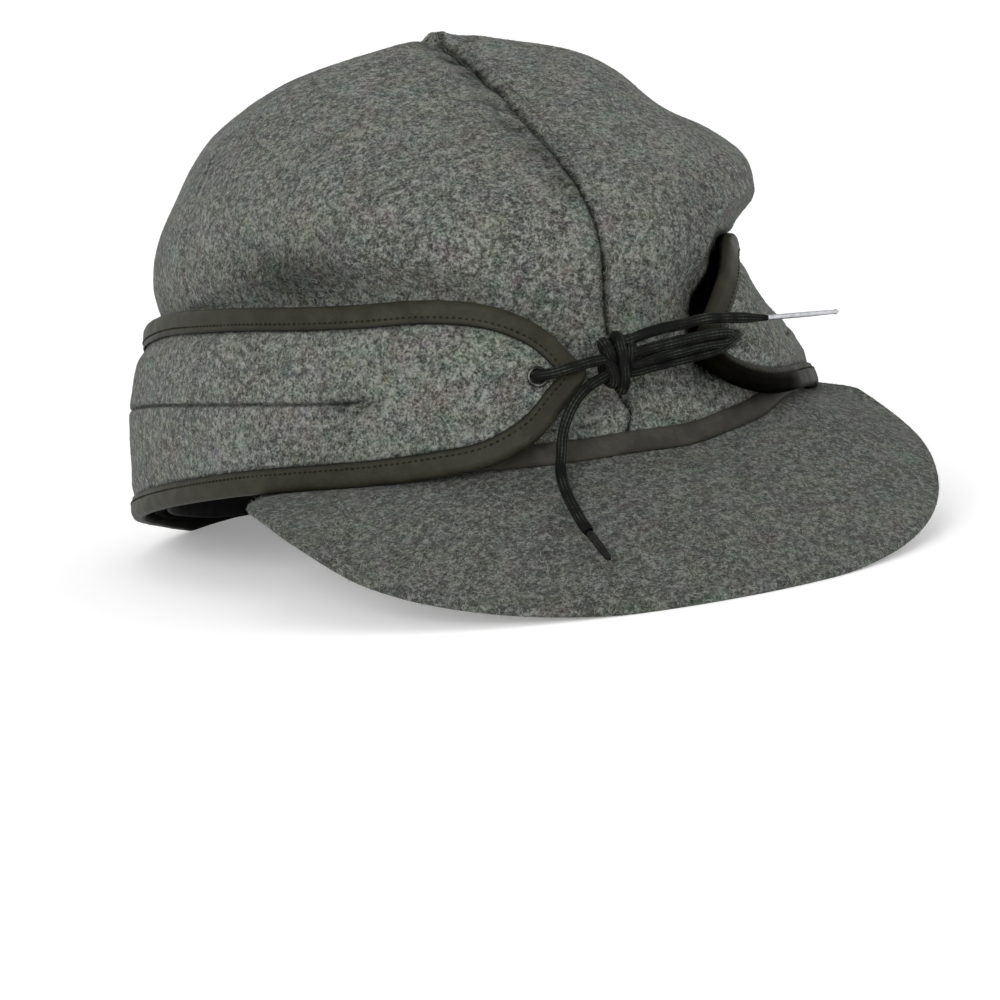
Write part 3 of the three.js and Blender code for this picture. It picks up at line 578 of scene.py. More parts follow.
def makeBinding():
    thick = band["thick"]
    w = binding["width"]
    t = binding["wall"]
    p = binding["puff"]
    outerLeg = [(0.18, w), (-0.02, w - 0.22), (-0.3 * p, w - 1.1), (-0.95 * p, w - 2.2), (-p, w - 3.4),
                (-0.8 * p, w - 4.6), (-0.25 * p, w - 5.4)]
    fold = [(0.25, 0.42), (0.75, 0.14), (thick / 2, 0.0), (thick - 0.75, 0.14), (thick - 0.25, 0.42)]
    backLeg = [(thick + d, i) for d, i in
               [(0.0, w - 5.3), (0.25 * p, w - 4.4), (0.3 * p, w - 3.0), (0.1, w - 1.2), (0, w - 0.2)]]
    inside = [(thick - t, w), (thick - t, w / 2), (thick - t, t + 0.2), (thick / 2, t), (t, t + 0.2),
              (t, w / 2), (t, w - 0.3)]
    section = outerLeg + fold + backLeg + inside
    n = len(outline)
    byNose = ease(*binding["nearNose"], np.abs(turned(outline[:, 0])))
    rings = []
    for k, (depth, distance) in enumerate(section):
        spot = movedIn(outline, distance)
        dip = binding["noseGroove"] * byNose if k == len(outerLeg) - 3 else 0
        rings.append(bandAt(spot[:, 0], spot[:, 1], depth + dip + np.zeros(n)))
    points = np.stack(rings, 1)
    run = runAlong(points[:, 0])
    lean = np.cumsum([0] + [math.dist(a, b) for a, b in zip(section, section[1:])])
    uv = np.stack(np.broadcast_arrays(run[:, None] / uvLength, lean[None] / uvLength), -1)
    outward = bandOut(outline[:, 0], outline[:, 1])
    dark = bindingShade
    place = turned(outline[:, 0])
    low = ease(*dark["low"], outline[:, 1])
    underNose = ease(*dark["nose"], place) * ease(*dark["noseEnd"], place) * low
    beside = ease(*dark["beside"], place) * ease(*dark["besideEnd"], place) * low
    order = np.arange(len(section))
    atFold = len(outerLeg) + 2
    # Painted shade: the nose's tape darker towards its fold, the part beside it darker, and the back leg
    # dark
    shade = underNose[:, None] * dark["noseDark"] * ease(*dark["noseFold"], order)[None]
    shade = np.maximum(shade, dark["besideDark"] * beside[:, None] * (order > 0)[None])
    shade = np.maximum(shade, (order > atFold)[None] * dark["backDark"])
    outside = (order > 0) & (order < atFold)
    crimp = uneven(points, "binding") * outside[None]
    points = points + crimp[..., None] * outward[:, None]
    return makeSweep("earBandBinding", onTable(points), uv=uv, marks={"shade": shade})


pieces["earBandBinding"] = makeBinding()
print("binding made")

# Crown: four soft wool panels
crown = {
    "wall": 2.5, "sideSeam": 87.0, "columns": 96, "columnShare": 0.55, "ringStep": 0.062,
    "lastRings": (8.93, 8.96, 8.98, 8.995), "seamDip": 1.1, "seamWidth": 2.6, "seamGap": 0.06,
    "topstitch": 4.6, "topstitchDip": 0.28, "topstitchWidth": 0.7, "bend": 1.5, "bendRing": 0.5,
    "bendTall": 0.14, "knob": 1.8, "knobAt": 1.0, "knobWidth": 3.2, "core": (0, -10, 45),
    "openRight": (-4, -9), "openLeft": (9, 14), "holdLeft": (46, 26), "stepFrom": -1.2, "stepTo": 1.8,
    "free": 10, "freeFrom": 0.5, "freeTo": 14, "rimReach": (1.6, 0), "softEdge": (0, 8),
    "softTop": (8.9, 8), "stitchTop": (9, 8), "valleyTop": (8.97, 8.7),
}
rim = rows(
    "at z",
    (-180, -7.8), (-165, -8.2), (-150, -8.6), (-128, -5.4), (-108, -2), (-90, -0.4), (-75, -0.4),
    (-62, -0.7), (-50, -1.1), (-38, -1.7), (-30, -2.4), (-20, -3.6), (-10, -4.3), (0, -4.4),
    (13, -4.5), (20, -2.9), (29, -0.6), (37, 2.8), (50, 4.4), (60, 4.0), (69, 2.6), (80, 1.2),
    (90, 0.2), (108, -2), (128, -5.4), (150, -8.6), (165, -8.2),
)
crownRings = rows(
    "at side front back zSide zFront zBack",
    (0, 90.0, 105.3, 105.3, 0, 0, 0), (1, 86.0, 102.6, 101.0, 24, 18, 20),
    (2, 80.5, 102.6, 95.5, 46, 32, 44), (3, 82.0, 106.0, 96.5, 62, 49, 62),
    (4, 78.9, 100.8, 91.8, 76, 63, 78), (5, 69.0, 89.0, 82.0, 91.5, 75, 93),
    (6, 55.0, 73.6, 60.0, 103.1, 86.5, 106), (7, 35.0, 54.0, 30.0, 112, 100, 114.5),
    (8, 14.7, 33.0, 0, 116.2, 112, 117.5), (9, 0, 20.4, -20.4, 117.9, 117.9, 117.9),
)
crownFolds = rows(
    "at ring wide tall out",
    (66, 2.9, 22, 0.6, -0.6), (62, 3.8, 26, 0.45, 1.5), (68, 5.35, 24, 0.7, -5.7),
    (64, 7.25, 12, 0.45, -2.4), (-112, 3.9, 32, 1.6, -1.7), (25, 3.4, 9, 0.9, -2.2),
    (-62, 3.1, 9, 0.5, -3.0), (-47, 4.3, 7, 1.2, 1.4), (-112, 4.7, 30, 0.7, -1.3),
    (-112, 6.4, 30, 0.9, 1.0),
)
crownTucks = rows(
    "at wide z tall deep",
    (40, 15, 30, 11, 5.5), (22.5, 5, 31, 12, 3.0), (19, 6, 12, 7, 2.0),
)
# How far the wool stands out over the band's upper edge
crownOverhang = rows(
    "at step",
    (-180, 3.2), (-112, 3.4), (-80, 2.0), (-62, 0), (-20, 0), (20, 0), (28, 2.4), (38, 3.6), (47, 4.0),
    (62, 4.5), (90, 4.4), (112, 3.4),
)


def crownFace(angle, t):
    angle, t = np.broadcast_arrays(np.asarray(angle, float), np.asarray(t, float))
    at = turned(angle)
    x, towards = ringShape(at)
    front = read(crownRings, "front", t)
    back = read(crownRings, "back", t)
    weight = np.cos(np.radians(at)) ** 2
    zSide = read(crownRings, "zSide", t)
    zEnd = np.where(np.abs(at) < 90, read(crownRings, "zFront", t), read(crownRings, "zBack", t))
    z = zSide * (1 - weight) + zEnd * weight + read(rim, "z", at, 360) * ease(*crown["rimReach"], t)
    y = (back - front) / 2 + (front + back) / 2 * towards
    point = np.stack([read(crownRings, "side", t) * x, y, z], -1)
    away = unit(point - np.array(crown["core"]))
    for f in crownFolds:
        point = point + away * (
            f["out"] * hump(turned(at - f["at"]), f["wide"]) * hump(t - f["ring"], f["tall"]))[..., None]
    noseClear = np.maximum(ease(*crown["openRight"], at), ease(*crown["openLeft"], at))
    topHere = bandTop(at)
    z = point[..., 2]
    held = band["thick"] + band["holdGap"] * ease(*crown["holdLeft"], at)
    inner = bandFace(at, np.minimum(z, topHere), -held)
    free = np.maximum(np.hypot(point[..., 0], point[..., 1]), 1e-6)
    over = z - topHere
    step = read(crownOverhang, "step", at, 360) * ease(crown["stepFrom"], crown["stepTo"], over)
    loose = crown["free"] * ease(crown["freeFrom"], crown["freeTo"], over)
    most = np.hypot(inner[..., 0], inner[..., 1]) + step + loose
    reach = free + (np.minimum(free, most) - free) * noseClear
    for tuck in crownTucks:
        beside = tuck["deep"] * hump(at - tuck["at"], tuck["wide"])
        reach = reach - beside * hump(z - tuck["z"], tuck["tall"]) * np.minimum(free, 1)
    point[..., :2] *= (reach / free)[..., None]
    return point


def crownOut(angle, t):
    return facing(crownFace, angle, t, 0.5, 0.02)


def crownAt(angle, t, depth):
    return crownFace(angle, t) - crownOut(angle, t) * np.asarray(depth)[..., None]


def edgeDistance(points):
    steps = np.linalg.norm(np.diff(points, axis=0), axis=2)
    run = np.concatenate([np.zeros((1, points.shape[1])), np.cumsum(steps, 0)])
    return run, run[-1:] - run


# Angle of a seam, ring by ring: the front one swings aside just above the peak
def seamLine(angle, rings):
    bend = crown["bend"] * hump(rings - crown["bendRing"], crown["bendTall"])
    return angle + (bend if angle == 0 else 0 * rings)


# Painted shade on the crown where the band's left nose stands off it, where it lies in deep shade
nosePocket = {"from": 5, "to": 48, "edge": (2.2, 4.4), "fade": (62, 44), "farAway": 1e3}


def noseShade(angle, z):
    at = turned(angle)
    around = turned(outline[:, 0])
    nose = outline[(around > nosePocket["from"]) & (around < nosePocket["to"])][::2]
    gap = np.full(at.shape, nosePocket["farAway"])
    for place, height in nose:
        gap = np.minimum(gap, np.hypot((at - turned(place)) * band["perDegree"], z - height))
    low = read([{"at": row["lowAt"] + 360, "low": row["low"]} for row in bandEdges][::-1], "low", at)
    behind = (at > bandNose["left"][0] + 360) & (z < bandTop(angle)) & (z > low)
    return ease(*nosePocket["edge"], np.where(behind, gap, -gap)) * ease(*nosePocket["fade"], at)


# The wool sinks beside its seams near the top, most of all on the right of the front seam
valleys = {
    "plain": {"deep": 1.0, "at": 3.0, "wide": 6.0, "rings": (5.2, 8.2)},
    "frontLeft": {"deep": 0.99, "at": 0.0, "wide": 4.0, "rings": (3.6, 7.4)},
    "frontRight": {"deep": 2.2, "at": 2.2, "wide": 5.0, "rings": (3.6, 7.4)},
}
# Painted shade in the seams, in the folds beside the front seam, in two puckers and under the band; no
# loose fibres where it is deep
crownShade = {
    "line": 0.55, "lineLow": 0.3, "lineRings": (5, 3), "lineLeft": 1.0, "lineRight": 1.1,
    "left": 0.3, "leftWide": 4, "leftRings": (3.6, 6), "right": 0.6, "rightAt": 3, "rightWide": 5.5,
    "rightRings": (3.4, 5), "patchy": 0.75, "patchMost": 1.35, "valleyPatchy": 0.95,
    "under": 0.97, "underRings": (1.9, 1.2), "underFrom": (50, 62), "bareBelowTop": 2, "bareFront": 20,
    "fibresUpTo": 0.6,
}
crownPuckers = rows("at wide ring tall dark", (-58, 14, 2.8, 0.62, 0.7), (26, 7, 3.4, 0.8, 0.3))


def panelMarks(start, end, angle, t, face, fromStart, fromEnd, under):
    dark = crownShade
    at = turned(angle)
    shade = 0
    for p in crownPuckers:
        shade = shade + p["dark"] * hump(at - p["at"], p["wide"]) * hump(t - p["ring"], p["tall"])
    patchy = np.clip(dark["patchy"] + uneven(face, "seamShade"), 0, dark["patchMost"])
    line = dark["line"] + dark["lineLow"] * ease(*dark["lineRings"], t)
    if start == 0:
        fold = dark["left"] * patchy * hump(fromStart, dark["leftWide"]) * ease(*dark["leftRings"], t)
        shade = shade + line * hump(fromStart, dark["lineLeft"]) + fold
    if end == 0:
        fold = dark["right"] * patchy * hump(fromEnd - dark["rightAt"], dark["rightWide"])
        shade = shade + line * hump(fromEnd - uneven(face, "seamWander"), dark["lineRight"])
        shade = shade + fold * ease(*dark["rightRings"], t)
    shade = np.maximum(shade, noseShade(angle, face[..., 2]))
    shade = np.maximum(shade, under * ease(*dark["underFrom"], np.abs(at)))
    bare = (face[..., 2] > bandTop(angle) - dark["bareBelowTop"]) | (np.abs(at) < dark["bareFront"])
    return {"shown": bare & (shade < dark["fibresUpTo"]), "shade": np.clip(shade, 0, 1)}


def makePanel(name, start, end):
    s = crowded(0, 1, crown["columns"], crown["columnShare"])
    lastRings = crown["lastRings"]
    rings = np.append(np.arange(0, lastRings[0], crown["ringStep"]), lastRings)
    first = seamLine(start, rings)
    last = seamLine(end, rings)
    angle = first[None] + (last - first)[None] * s[:, None]
    t = rings[None] + 0 * angle
    face = crownFace(angle, t)
    out = crownOut(angle, np.minimum(t, lastRings[1]))
    fromStart, fromEnd = edgeDistance(face)
    seam = np.minimum(fromStart, fromEnd)
    rise = uneven(face, "crown") * ease(*crown["softEdge"], seam) * ease(*crown["softTop"], t)
    depth = crown["seamDip"] * (1 - ease(0, crown["seamWidth"], seam) ** 0.5)
    side = valleys["plain"]
    beside = seam
    patchy = 1
    stitch = 0
    if start == 0:
        side = valleys["frontLeft"]
        beside = fromStart
        stitch = hump(fromStart - crown["topstitch"], crown["topstitchWidth"])
        stitch = crown["topstitchDip"] * stitch * ease(*crown["stitchTop"], t)
    if end == 0:
        side = valleys["frontRight"]
        beside = fromEnd
        patchy = crownShade["valleyPatchy"] + uneven(face, "valley")
    valley = side["deep"] * patchy * hump(beside - side["at"], side["wide"]) * ease(*side["rings"], t)
    valley = valley * ease(*crown["valleyTop"], t)
    fromTop = np.linalg.norm(face - face[:1, -1:], axis=-1)
    knob = crown["knob"] * hump(fromTop - crown["knobAt"], crown["knobWidth"])
    depth = depth + valley + stitch - rise - knob
    outer = face - out * depth[..., None]
    inner = face - out * (crown["wall"] + valley)[..., None]
    gap = unit(crownFace(angle + 0.5, t) - crownFace(angle - 0.5, t)) * crown["seamGap"]
    for wall in (outer, inner):
        wall[0] += gap[0]
        wall[-1] -= gap[-1]
    # Painted shade on the rim below the band: outside at the sides and back, and all round on the inner
    # wall
    under = crownShade["under"] * ease(*crownShade["underRings"], t)
    marks = panelMarks(start, end, angle, t, face, fromStart, fromEnd, under)
    return makeShell(name, outer, inner, marks, innerShade=under)


sideSeam = crown["sideSeam"]
pieces["crownFrontRight"] = makePanel("crownFrontRight", -sideSeam, 0)
pieces["crownFrontLeft"] = makePanel("crownFrontLeft", 0, sideSeam)
pieces["crownBackLeft"] = makePanel("crownBackLeft", sideSeam, 180)
pieces["crownBackRight"] = makePanel("crownBackRight", -180, -sideSeam)
print("crown panels made")

# Peak: padded and covered in wool, its edge rounded
visor = {
    "halfWidth": 94.2, "middle": -72.2, "reach": 85.0, "power": 2.06, "camber": 1.5, "last": 105.0,
    "lastRoot": 64.0, "taperRight": 90.0, "taperLeft": 97.0, "taper": 0.75, "wall": 3.5, "lip": 2.4,
    "bevel": 1.3, "gap": 0.05, "columns": 261, "rows": 58, "rowShare": 0.4, "soft": (20, 50),
    "lipTurns": (60, 35, 10, -15, -40, -65, -90),
    "underRows": (0.96, 0.9, 0.8, 0.65, 0.5, 0.35, 0.2, 0.1),
}
visorDrop = rows(
    "at z",
    (-105, -4.0), (-90, -5.2), (-75, -14.2), (-60, -25.9), (-40, -36.0), (-20, -41.3), (0, -42.1),
    (20, -41.3), (40, -36.0), (60, -25.9), (70, -19.0), (80, -12.7), (90, -6.0), (95, -2.3), (100, 1.6),
    (105, 4.8),
)


def makeVisor():
    turn = np.linspace(-visor["last"], visor["last"], visor["columns"])
    x, y = ringShape(turn, visor["power"])
    x = visor["halfWidth"] * x
    y = visor["middle"] + visor["reach"] * y
    edgeLine = np.stack([x, y, np.maximum(read(visorDrop, "z", turn), tableZ(y))], -1)
    rootAt = turn / visor["last"] * visor["lastRoot"]
    root = crownFace(rootAt, 0)
    root[:, 2] = read(rim, "z", rootAt, 360) - visor["gap"]
    inward = unit(root * np.array([-1, -1, 0]))
    heel = root + inward * crown["wall"]
    taperFrom = np.where(turn < 0, visor["taperRight"], visor["taperLeft"])
    tucked = visor["taper"] * ease(taperFrom, visor["last"], np.abs(turn))[:, None]
    edge = edgeLine * (1 - tucked) + root * tucked
    edge[:, 2] = edgeLine[:, 2]
    width = np.linalg.norm(root - edge, axis=1)[:, None]
    lip = edge + (root - edge) * (visor["bevel"] / width)
    lip[:, 2] = edge[:, 2] + visor["lip"]
    wallHere = np.minimum(visor["wall"], width[:, 0])
    broad = ease(*visor["soft"], width[:, 0])
    shares = crowded(0, 1, visor["rows"], visor["rowShare"])

    def upper(share):
        p = root + (lip - root) * share
        arch = math.sin(math.pi * share)
        p[:, 2] += visor["camber"] * arch * broad + uneven(p, "peak") * arch ** 0.5 * broad
        return p

    loop = [heel] + [upper(share) for share in shares]
    for a in np.radians(visor["lipTurns"]):
        p = edge + (root - edge) * (visor["bevel"] * (1 - math.cos(a)) / width)
        p[:, 2] = edge[:, 2] + visor["lip"] / 2 * (1 + math.sin(a))
        loop.append(p)
    for share in visor["underRows"]:
        p = upper(share)
        p[:, 2] -= wallHere + (visor["lip"] - wallHere) * share ** 3
        loop.append(p)
    base = heel.copy()
    base[:, 2] -= wallHere
    loop.append(base)
    points = onTable(np.stack(loop, 1))
    shown = np.zeros(points.shape[:2])
    shown[:, 4:len(shares) + 6] = 1
    marks = {"shown": shown, "shade": 0 * shown}
    return makeSweep("peakWool", points, closed=False, flip=True, marks=marks)


pieces["peakWool"] = makeVisor()


# Ring of the crown at a height near the rim, found by halving
def ringAtHeight(angle, z):
    low = np.zeros_like(angle)
    high = low + 3
    for _ in range(24):
        middle = (low + high) / 2
        below = crownFace(angle, middle)[..., 2] < z
        low = np.where(below, middle, low)
        high = np.where(below, high, middle)
    return (low + high) / 2


# Tape over the seam between crown and peak
visorTape = {
    "start": -40.0, "end": 42.0, "columns": 150, "low": -0.1, "high": 5.6, "lift": 0.3, "wall": 0.5,
    "lastUv": 1.2,
}


def crownStrip(angle, section):
    rimHere = read(rim, "z", angle, 360)
    loop = []
    for height, lift in section:
        t = ringAtHeight(angle, rimHere + height)
        loop.append(crownAt(angle, t, np.full_like(angle, -lift)))
    return np.stack(loop, 1)


def makeVisorTape():
    a = visorTape["low"]
    b = visorTape["high"]
    lift = visorTape["lift"]
    top = lift + visorTape["wall"]
    lower = [(a, lift), (a, top - 0.15), (a + 0.3, top + 0.1), (a + 1.4, top + 0.32)]
    middle = [(a + 2.65, top + 0.4), (b - 1.4, top + 0.3), (b - 0.3, top + 0.05)]
    upper = [(b, top - 0.2), (b, lift), (b - 2.65, lift)]
    section = lower + middle + upper
    angle = np.linspace(visorTape["start"], visorTape["end"], visorTape["columns"])
    points = crownStrip(angle, section)
    out = crownOut(angle, np.full_like(angle, 0.1))[:, None]
    points = points + uneven(points, "tape")[..., None] * out
    run = runAlong(points[:, 0])
    over = np.linspace(0, visorTape["lastUv"], len(section))
    uv = np.stack(np.broadcast_arrays(run[:, None] / uvLength, over[None]), -1)
    return makeSweep("visorTape", points, closed=False, flip=True, uv=uv)


pieces["visorTape"] = makeVisorTape()

# Cloth band inside the rim
sweatband = {"low": 0.8, "high": 25.0, "gap": 0.9, "wall": 1.2, "columns": 240}


def makeSweatband():
    angle = np.linspace(-180, 180, sweatband["columns"], endpoint=False)
    near = -(crown["wall"] + sweatband["gap"])
    far = near - sweatband["wall"]
    a = sweatband["low"]
    b = sweatband["high"]
    section = [(h, near) for h in np.linspace(a, b, 12)]
    section += [(b, far + 0.3), (b - 0.4, far)] + [(h, far) for h in np.linspace(b - 2, a + 2, 10)]
    section += [(a + 0.4, far), (a, far + 0.3)]
    points = crownStrip(angle, section)
    inwards = unit(points * np.array([-1, -1, 0]))
    points = points + np.abs(uneven(points, "sweatband"))[..., None] * inwards
    return makeSweep("sweatCloth", points, flip=True)


pieces["sweatCloth"] = makeSweatband()
print("peak, tape and sweatband made")


def makeEyelet(name, row):
    half = band["wall"] / 2 + eyelet["overWall"]
    hole = eyelet["hole"]
    flange = eyelet["flange"]
    arc = [(hole, 0.15), (hole + 0.1, 0.42), (hole + 0.35, eyelet["steepest"]), (flange - 0.35, 0.5),
           (flange - 0.05, 0.28), (flange, 0.05)]
    front = [(r, half + h * eyelet["rise"] / eyelet["steepest"]) for r, h in arc]
    front.append((eyelet["back"], half - 0.05))
    profile = front + [(r, -h) for r, h in front[::-1]]
    spot = bandAt(row["at"], row["z"], band["thick"] / 2)
    out = bandOut(np.array(row["at"]), np.array(row["z"]))
    side = unit(np.cross(out, [0, 0, 1.0]))
    up = np.cross(side, out)
    turn = np.linspace(0, 2 * math.pi, eyelet["sides"], endpoint=False)
    ringWay = np.cos(turn)[:, None] * side + np.sin(turn)[:, None] * up
    points = np.stack([spot + r * ringWay + h * out for r, h in profile], 1)
    return makeSweep(name, points)


pieces["eyeletRimRight"] = makeEyelet("eyeletRimRight", eyeletRight)
pieces["eyeletRimLeft"] = makeEyelet("eyeletRimLeft", eyeletLeft)

# The two short lengths from the eyelets, and the knot
laceDepths = (2.6, 1.2, -0.6, -3.0)
for key, row in (("tieRight", eyeletRight), ("tieLeft", eyeletLeft)):
    through = [tuple(bandAt(row["at"], row["z"], band["thick"] / 2 + d)) for d in laceDepths]
    name = "laceTie" + key[3:]
    pieces[name] = laceTube(name, through + laceRoutes[key])[0]

knot = {"x": -3.6, "y": -111.6, "z": 19.2}
knotWraps = rows(
    "x z deep tall lean slant",
    (0.6, -0.2, 2.9, 6.9, 0.3, 0.0), (3.2, 2.2, 2.2, 3.2, 0.6, 0.4), (-2.2, 3.0, 2.2, 2.6, -0.8, -0.5),
    (-2.6, -2.2, 2.2, 2.9, -0.6, 0.4),
)
knotCores = {
    "coreAcross": [(-7.2, -112.3, 20.4), (-3.6, -111.4, 19.4), (0.2, -111.5, 16.5)],
    "coreUp": [(-6.4, -111.6, 16.8), (-3.2, -111.0, 20.0), (0.4, -112.8, 24.0)],
}


def makeKnot():
    made = []
    for k, wrap in enumerate(knotWraps):
        turn = np.radians(np.arange(0, 360, 30))
        loop = [(knot["x"] + wrap["x"] + wrap["lean"] * math.sin(a) + wrap["slant"] * math.cos(a),
                 knot["y"] - wrap["deep"] * math.cos(a), knot["z"] + wrap["z"] + wrap["tall"] * math.sin(a))
                for a in turn]
        made.append(laceTube("wrap%d" % k, loop, closed=True)[0])
    for name, corners in knotCores.items():
        made.append(laceTube(name, corners)[0])
    bpy.ops.object.select_all(action="DESELECT")
    for piece in made:
        piece.select_set(True)
    bpy.context.view_layer.objects.active = made[0]
    bpy.ops.object.join()
    made[0].name = "laceKnotWraps"
    return made[0]


pieces["laceKnotWraps"] = makeKnot()

# Tips of the lace
tips = {
    "tipSilver": {
        "start": (41.0, -111.1, 24.75), "end": (65.2, -106.0, 23.6), "radius": 0.72, "taper": 0.7,
        "ball": 0.16,
    },
    "tipDark": {
        "start": (-29.5, -136.0, -21.3), "end": (-29.2, -144.6, -27.9), "radius": 1.05, "taper": 0.62,
        "ball": 0.0,
    },
}
tipShape = {
    "step": 0.4, "sides": 28, "crimp": 0.09, "crimps": (1.6, 3.6), "crimpWidth": 0.5, "seam": 0.10,
    "seamWidth": 0.22, "taperFrom": 0.55, "taperShare": 0.6, "ballAt": 0.7, "ballWide": 0.7,
    "round": 1.1, "roundShare": 0.75, "mouth": 0.8, "mouthRun": 0.5,
}


def makeTip(name, tip):
    route, marks = evenRoute([tip["start"], tip["end"]], tipShape["step"])
    side, over = carried(route)
    length = marks[-1]
    share = marks / length
    narrower = (1 - tip["taper"]) * ease(tipShape["taperFrom"], 1, share) * tipShape["taperShare"]
    radius = tip["radius"] * (1 - narrower)
    radius = radius + tip["ball"] * hump(marks - length + tipShape["ballAt"], tipShape["ballWide"])
    rounded = ease(length - tipShape["round"], length, marks) ** 2 * tipShape["roundShare"]
    mouth = ease(0, tipShape["mouthRun"], marks)
    radius = radius * np.sqrt(1 - rounded) * (tipShape["mouth"] + (1 - tipShape["mouth"]) * mouth)
    for place in tipShape["crimps"]:
        radius = radius - tipShape["crimp"] * hump(marks - place, tipShape["crimpWidth"])
    turn = np.arange(tipShape["sides"]) / tipShape["sides"] * 2 * math.pi
    seam = 1 - tipShape["seam"] * hump(np.minimum(turn, 2 * math.pi - turn), tipShape["seamWidth"])
    reach = radius[:, None] * seam[None]
    points = route[:, None] + reach[..., None] * (
        np.cos(turn)[None, :, None] * side[:, None] + np.sin(turn)[None, :, None] * over[:, None])
    return makeSweep(name, points, closed=False)


for name, tip in tips.items():
    pieces[name] = makeTip(name, tip)
print("lace, knot and tips made")


# Node trees, for shader groups and for layouts
def newTree(name, kind, inputs, outputs):
    tree = bpy.data.node_groups.new(name, kind)
    for label, socketKind, value in inputs:
        socket = tree.interface.new_socket(
            name=label, in_out="INPUT", socket_type="NodeSocket" + socketKind)
        if value is not None:
            socket.default_value = value
    for label, socketKind in outputs:
        tree.interface.new_socket(name=label, in_out="OUTPUT", socket_type="NodeSocket" + socketKind)
    return tree, tree.nodes.new("NodeGroupInput").outputs, tree.nodes.new("NodeGroupOutput").inputs


def newGroup(name, *inputs):
    outputs = [("Color", "Color"), ("Roughness", "Float"), ("Height", "Float")]
    return newTree(name, "ShaderNodeTree", [("Vector", "Vector", None), *inputs], outputs)


def finishGroup(tree, result, colour, roughness, height):
    for label, value in (("Color", colour), ("Roughness", roughness), ("Height", height)):
        tree.links.new(value, result[label])
    return tree


def put(tree, kind, links=None, **settings):
    node = tree.nodes.new(kind)
    for key, value in settings.items():
        setattr(node, key, value)
    for key, value in (links or {}).items():
        socket = node.inputs[key]
        if isinstance(value, bpy.types.NodeSocket):
            tree.links.new(value, socket)
        else:
            socket.default_value = value
    return node


def maths(tree, operation, a, b=0.0, clamp=False):
    return put(tree, "ShaderNodeMath", {0: a, 1: b}, operation=operation, use_clamp=clamp).outputs[0]


def times(tree, a, b):
    return maths(tree, "MULTIPLY", a, b)


def scaled(tree, colour, by):
    return put(tree, "ShaderNodeVectorMath", {0: colour, "Scale": by}, operation="SCALE").outputs[0]


def ranged(tree, value, low=0.3, high=0.7, toLow=0.0, toHigh=1.0):
    links = {"Value": value, "From Min": low, "From Max": high, "To Min": toLow, "To Max": toHigh}
    return put(tree, "ShaderNodeMapRange", links).outputs["Result"]


def noise(tree, place, scale, detail=2.0, rough=0.5, distortion=0.0, give="Fac"):
    links = {"Vector": place, "Scale": scale, "Detail": detail, "Roughness": rough,
             "Distortion": distortion}
    return put(tree, "ShaderNodeTexNoise", links).outputs[give]


def mapped(tree, place, scale, turn=(0, 0, 0)):
    links = {"Vector": place, "Rotation": turn, "Scale": scale}
    return put(tree, "ShaderNodeMapping", links).outputs[0]


def mixed(tree, share, a, b, blend="MIX"):
    links = {0: share, 6: a, 7: b}
    return put(tree, "ShaderNodeMix", links, data_type="RGBA", blend_type=blend).outputs[2]


# Felt: light and dark fibres over mottled wool, with painted shade from its Shade input where folds lie in
# shade
felt = {
    "tones": rows(
        "scale detail rough low high",
        (80.0, 3.0, 0.6, 0.68, 1.32), (24.0, 2.0, 0.5, 0.76, 1.24), (260.0, 2.0, 0.6, 0.76, 1.24)),
    "lightHairs": rows(
        "turn scale low",
        ((0.4, 0.3, 0.7), 1600.0, 0.56), ((1.2, 0.9, 2.1), 1650.0, 0.57), ((2.3, 1.9, 0.2), 1750.0, 0.56)),
    "darkHairs": rows("turn scale low", ((0.9, 2.2, 1.3), 1500.0, 0.56), ((1.8, 0.2, 2.8), 1550.0, 0.57)),
    "hairEdge": 0.14, "hairStretch": (0.55, 1, 1), "hairBend": 0.35, "clumpShare": 0.85, "deepest": 0.985,
    "clump": (540.0, 3.0, 0.66), "grain": (1350.0, 3.0, 0.7), "tint": (115.0, 3.0, 0.65),
    "relief": (0.8, 0.00026),
}


def hairs(tree, place, kinds):
    total = 0.0
    for kind in kinds:
        laid = mapped(tree, place, felt["hairStretch"], kind["turn"])
        bent = noise(tree, laid, kind["scale"], 2.0, 0.55, felt["hairBend"])
        one = ranged(tree, bent, kind["low"], kind["low"] + felt["hairEdge"])
        total = maths(tree, "MAXIMUM", one, total)
    return total


